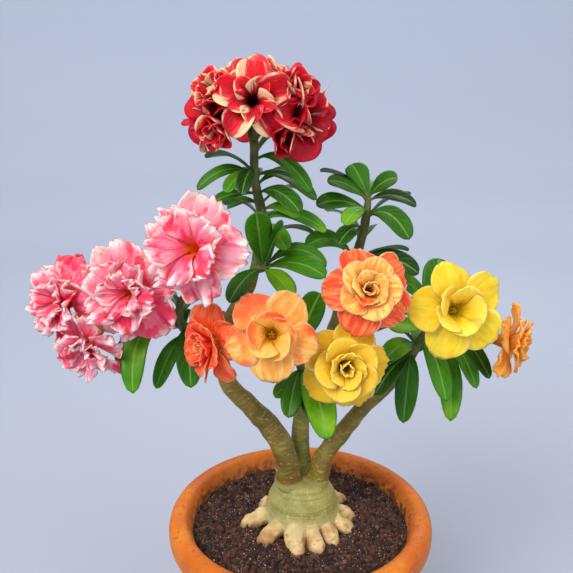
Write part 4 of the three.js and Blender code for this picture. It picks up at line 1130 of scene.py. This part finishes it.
def grow_leaf(shell, root, tip, width, arch, light, habit, sway=0):
    """A thick leaf with a raised midrib below, a groove above, and its edges rolled a little."""
    rows, columns = LEAF_GRID
    crown = root.lerp(tip, 0.45) + Vector((sway, 0, 2 * arch))
    droop = UP * LEAF_DROOP * (tip - root).length
    middle, ups, upper, lower = [], [], [], []
    for row in range(rows + 1):
        u = 1 - (1 - row / rows) ** 1.3
        w = 1 - u
        spot = root * w * w + crown * 2 * w * u + tip * u * u
        tangent = ((crown - root) * w + (tip - crown) * u).normalized()
        side = light.cross(tangent).normalized()
        up = tangent.cross(side)
        half = width / 2 * LEAF_BREADTH * leaf_outline(u)
        line, top, bottom = [], [], []
        for j in range(columns + 1):
            v = 2 * j / columns - 1
            wave = math.sin(u * 9 + habit * 20 + (3 if v > 0 else 0)) * math.sin(math.pi * u) / 2
            lift = half * (abs(v) ** 1.3 * LEAF_FOLD - abs(v) ** 4 * LEAF_ROLL) + wave * v * v
            line.append(spot + side * v * half + up * lift - droop * u ** 5)
            values = {"along": u, "across": v, "habit": habit}
            if j in (0, columns) or row in (0, rows):
                top.append(shell.point(line[-1], **values))
                bottom.append(top[-1])
                continue
            flesh = 0.5 * (1 - v ** 4) ** 0.5
            groove = 0.25 * math.exp(-(v / 0.12) ** 2)
            rib = 0.9 * (1 - 0.75 * u) * math.exp(-(v / 0.16) ** 2)
            top.append(shell.point(line[-1] + up * (flesh - groove), side=1, **values))
            bottom.append(shell.point(line[-1] - up * (flesh + rib), side=0, **values))
        for kept, new in ((middle, line), (ups, up), (upper, top), (lower, bottom)):
            kept.append(new)
    shell.sheet(upper)
    shell.sheet(list(zip(*lower)))
    midrib = [line[columns // 2] for line in middle]
    stalk = Course([root - (midrib[2] - root).normalized(), midrib[1], midrib[3] - ups[3] * 0.5])
    grow_limb(shell, stalk, (1.7, 1.3, 0.7), 8, 4, along=0.05, habit=habit)


def spiral_leaves(count, start, end, middle, spread, length, lift, width, arch):
    """Leaves set round a shoot by the golden angle: [along, run, width, arch] for each."""
    for i in range(count):
        share = i / (count - 1)
        turn = ((i * GOLDEN_ANGLE) % 360) / 360 - 0.5
        size = length * (1 - 0.18 * ((i * 2) % 3) / 2)
        run = spoke(math.radians(middle + turn * spread), size, lift * (0.4 + 0.6 * share))
        yield start + (end - start) * share, run, width, arch


def grow_stalk(shell, start, name):
    """A flower stalk with its calyx cup and five sepals that hug the flower's tube."""
    _, at, facing, spin, _, _ = BLOOMS[name]
    look = Vector(facing).normalized()
    top = Vector(at) - look * (BLOOM_TUBE_LENGTH + SEAT_GAP)
    foot = top - look * CALYX_HEIGHT
    neck = foot - look * CALYX_NECK
    course = Course([start, start.lerp(neck, 0.5), neck, foot, top])
    r = PEDICEL_RADIUS
    grow_limb(shell, course, (r * 1.3, r, r, r * 1.1, BLOOM_TUBE[0][0] + 0.6), 10, 24, finish=1)
    turn = UP.rotation_difference(look) @ Quaternion(UP, math.radians(spin))
    for spot in circle(1, 0, SEPALS):
        out = turn @ spot
        grow_sepal(shell, top - look * 1.2 + out * 2.6, top + look * 6.5 + out * 6.2, out, look)


def grow_sepal(shell, root, tip, out, look):
    side = look.cross(out)
    rows = []
    for row in range(7):
        u = row / 6
        spot = root.lerp(tip, u) - out * 1.4 * math.sin(math.pi * u) + out * 1.2 * u ** 3
        wide = side * 1.9 * math.sin(math.pi * (0.28 + 0.72 * u)) ** 0.8
        thick = out * 0.45 * (1 - u)
        rows.append([shell.point(spot + edge, along=0.6) for edge in (-wide, -thick, wide, thick)])
    shell.tube(rows, finish=1)


def leaf_finish():
    leaf = Finish("leaves", Roughness=0.38, Specular_IOR_Level=0.2, Coat_Weight=0.07,
                  Coat_Roughness=0.2)
    along, across, habit, side = (leaf.painted(paint) for paint in LEAF_PAINTS)
    cloud = leaf.grain(40, 3)
    tone = habit * 0.62 + cloud * 0.62
    away = abs(across)
    slant = along * 8 - away * 2.2
    vein = leaf.sum("SINE", slant * 6.283).rise(0.82, 1.0) * away.rise(1.0, 0.5)
    base = leaf.mix(tone.rise(0.24, 0.95), (8, 54, 4), (56, 128, 4))
    # The tone differs at random from leaf to leaf. Its brightest yellow-green stop is a painted
    # highlight that stands in for the sheen on glossy leaves.
    base = base.lay(1, tone.rise(0.78, 1.1), (128, 184, 16))
    base = base.lay(0.16, vein, (130, 170, 76))
    base = base.lay(0.45, away.rise(0.12, 0.02), (150, 186, 88))
    base = base.lay(0.3, away.rise(0.86, 1.0), (124, 170, 54))
    base = base.lay(1, along.rise(0.16, 0.02), (104, 112, 50))
    base = base.lay(0.4, 1 - side, (78, 110, 40))
    return leaf.coat(base, cloud.rise(-0.7, 2.2), leaf.grain(220, 3) - vein * 0.6, 0.2)


def shoot_finish():
    shoot = Finish("green_shoots", Roughness=0.5)
    base = shoot.mix(shoot.grain(60, 4).rise(0.35, 0.65), (66, 78, 26), (104, 116, 42))
    base = base.lay(0.5, shoot.grain(300, 2).rise(0.62, 0.7), (150, 146, 80))
    return shoot.coat(base, 0.5, shoot.grain(240, 4), 0.3)


leaf_coat, shoot_coat = leaf_finish(), shoot_finish()
for node, (shoots, flowers) in STEMS.items():
    shell = Shell(*LEAF_PAINTS)
    habit_of = random.Random(node)
    for points, radii, leaves, spirals in shoots:
        course = Course(points)
        grow_limb(shell, course, radii, 16, 48, finish=1, knobs=0.14)
        for along, x, y, z, width, arch, *sway in leaves:
            grow_leaf(shell, course.at(along), Vector((x, y, z)), width, arch, FRONT_LIGHT,
                      habit_of.random(), *sway)
        for spiral in spirals:
            for along, run, width, arch in spiral_leaves(*spiral):
                root = course.at(along)
                grow_leaf(shell, root, root + run, width, arch, REAR_LIGHT, habit_of.random())
    for number, along, name in flowers:
        grow_stalk(shell, Course(shoots[number][0]).at(along), name)
    leafy = shell.piece("leafy_" + node, leaf_coat, shoot_coat)
    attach(leafy, "root")
    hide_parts(node)

# -------------------- the setting
# A plain pale floor, a large soft window of light from the upper left, two softer fills, and a
# wash over the far side of the floor.

SENSOR_WIDTH = 36
PICTURE_PIXELS = 573
FOCAL_PIXELS = 700
CAMERA_PLACE = (-0.0125, -0.565, 0.538)
LOOK_DOWN = 15.6
SWEEP_SEGMENTS = 96
SWEEP = [(0, 0), (1.3, 0), (1.9, 0.04), (2.35, 0.25), (2.6, 0.7), (2.7, 1.3), (2.7, 2.6)]


def sweep():
    """A round studio sweep: a flat floor that curves up into a wall on every side."""
    shell = Shell()
    middle = shell.point(Vector((0, 0, 0)))
    rings = [
        [shell.point(spot) for spot in circle(radius / MM, z / MM, SWEEP_SEGMENTS)]
        for radius, z in eased(SWEEP, 0.4, 2)[1:]
    ]
    shell.fan(middle, rings[0])
    shell.bands([ring[::-1] for ring in rings[::-1]])
    return shell


backdrop = Finish("pale_sweep", Roughness=0.9, Base_Color=(167, 176, 194))
floor = sweep().piece("pale_sweep", backdrop.material)

world = bpy.data.worlds.new("pale_room")
bpy.context.scene.world = world
world.use_nodes = True
world.node_tree.nodes["Background"].inputs["Color"].default_value = colour(248, 240, 232)
world.node_tree.nodes["Background"].inputs["Strength"].default_value = 1.05

for name, place, aim, size, power in (
    ("window", (-1.1, -1.5, 1.9), (0, 0, 0.32), 1.2, 52),
    ("fill", (1.6, -1.2, 1.0), (0, 0, 0.32), 1.4, 14),
    ("rim", (0.6, 1.5, 1.6), (0, 0, 0.32), 1.0, 8),
    ("wash", (0, 1.0, 1.9), (0, 2.7, 0.9), 1.6, 16),
):
    lamp = bpy.data.lights.new(name, "AREA")
    lamp.size = size
    lamp.energy = power
    lamp.color = (1, 0.95, 0.88) if name != "wash" else (0.94, 0.97, 1)
    light = bpy.data.objects.new(name, lamp)
    light.location = place
    light.rotation_euler = (Vector(aim) - Vector(place)).to_track_quat("-Z", "Y").to_euler()
    bpy.context.scene.collection.objects.link(light)

bpy.context.scene.view_settings.view_transform = "Standard"

lens = bpy.data.cameras.new("camera")
lens.sensor_width = SENSOR_WIDTH
lens.lens = SENSOR_WIDTH * FOCAL_PIXELS / PICTURE_PIXELS
camera = bpy.data.objects.new("camera", lens)
camera.location = CAMERA_PLACE
camera.rotation_euler = (math.radians(90 - LOOK_DOWN), 0, 0)
bpy.context.scene.collection.objects.link(camera)
bpy.context.scene.camera = camera
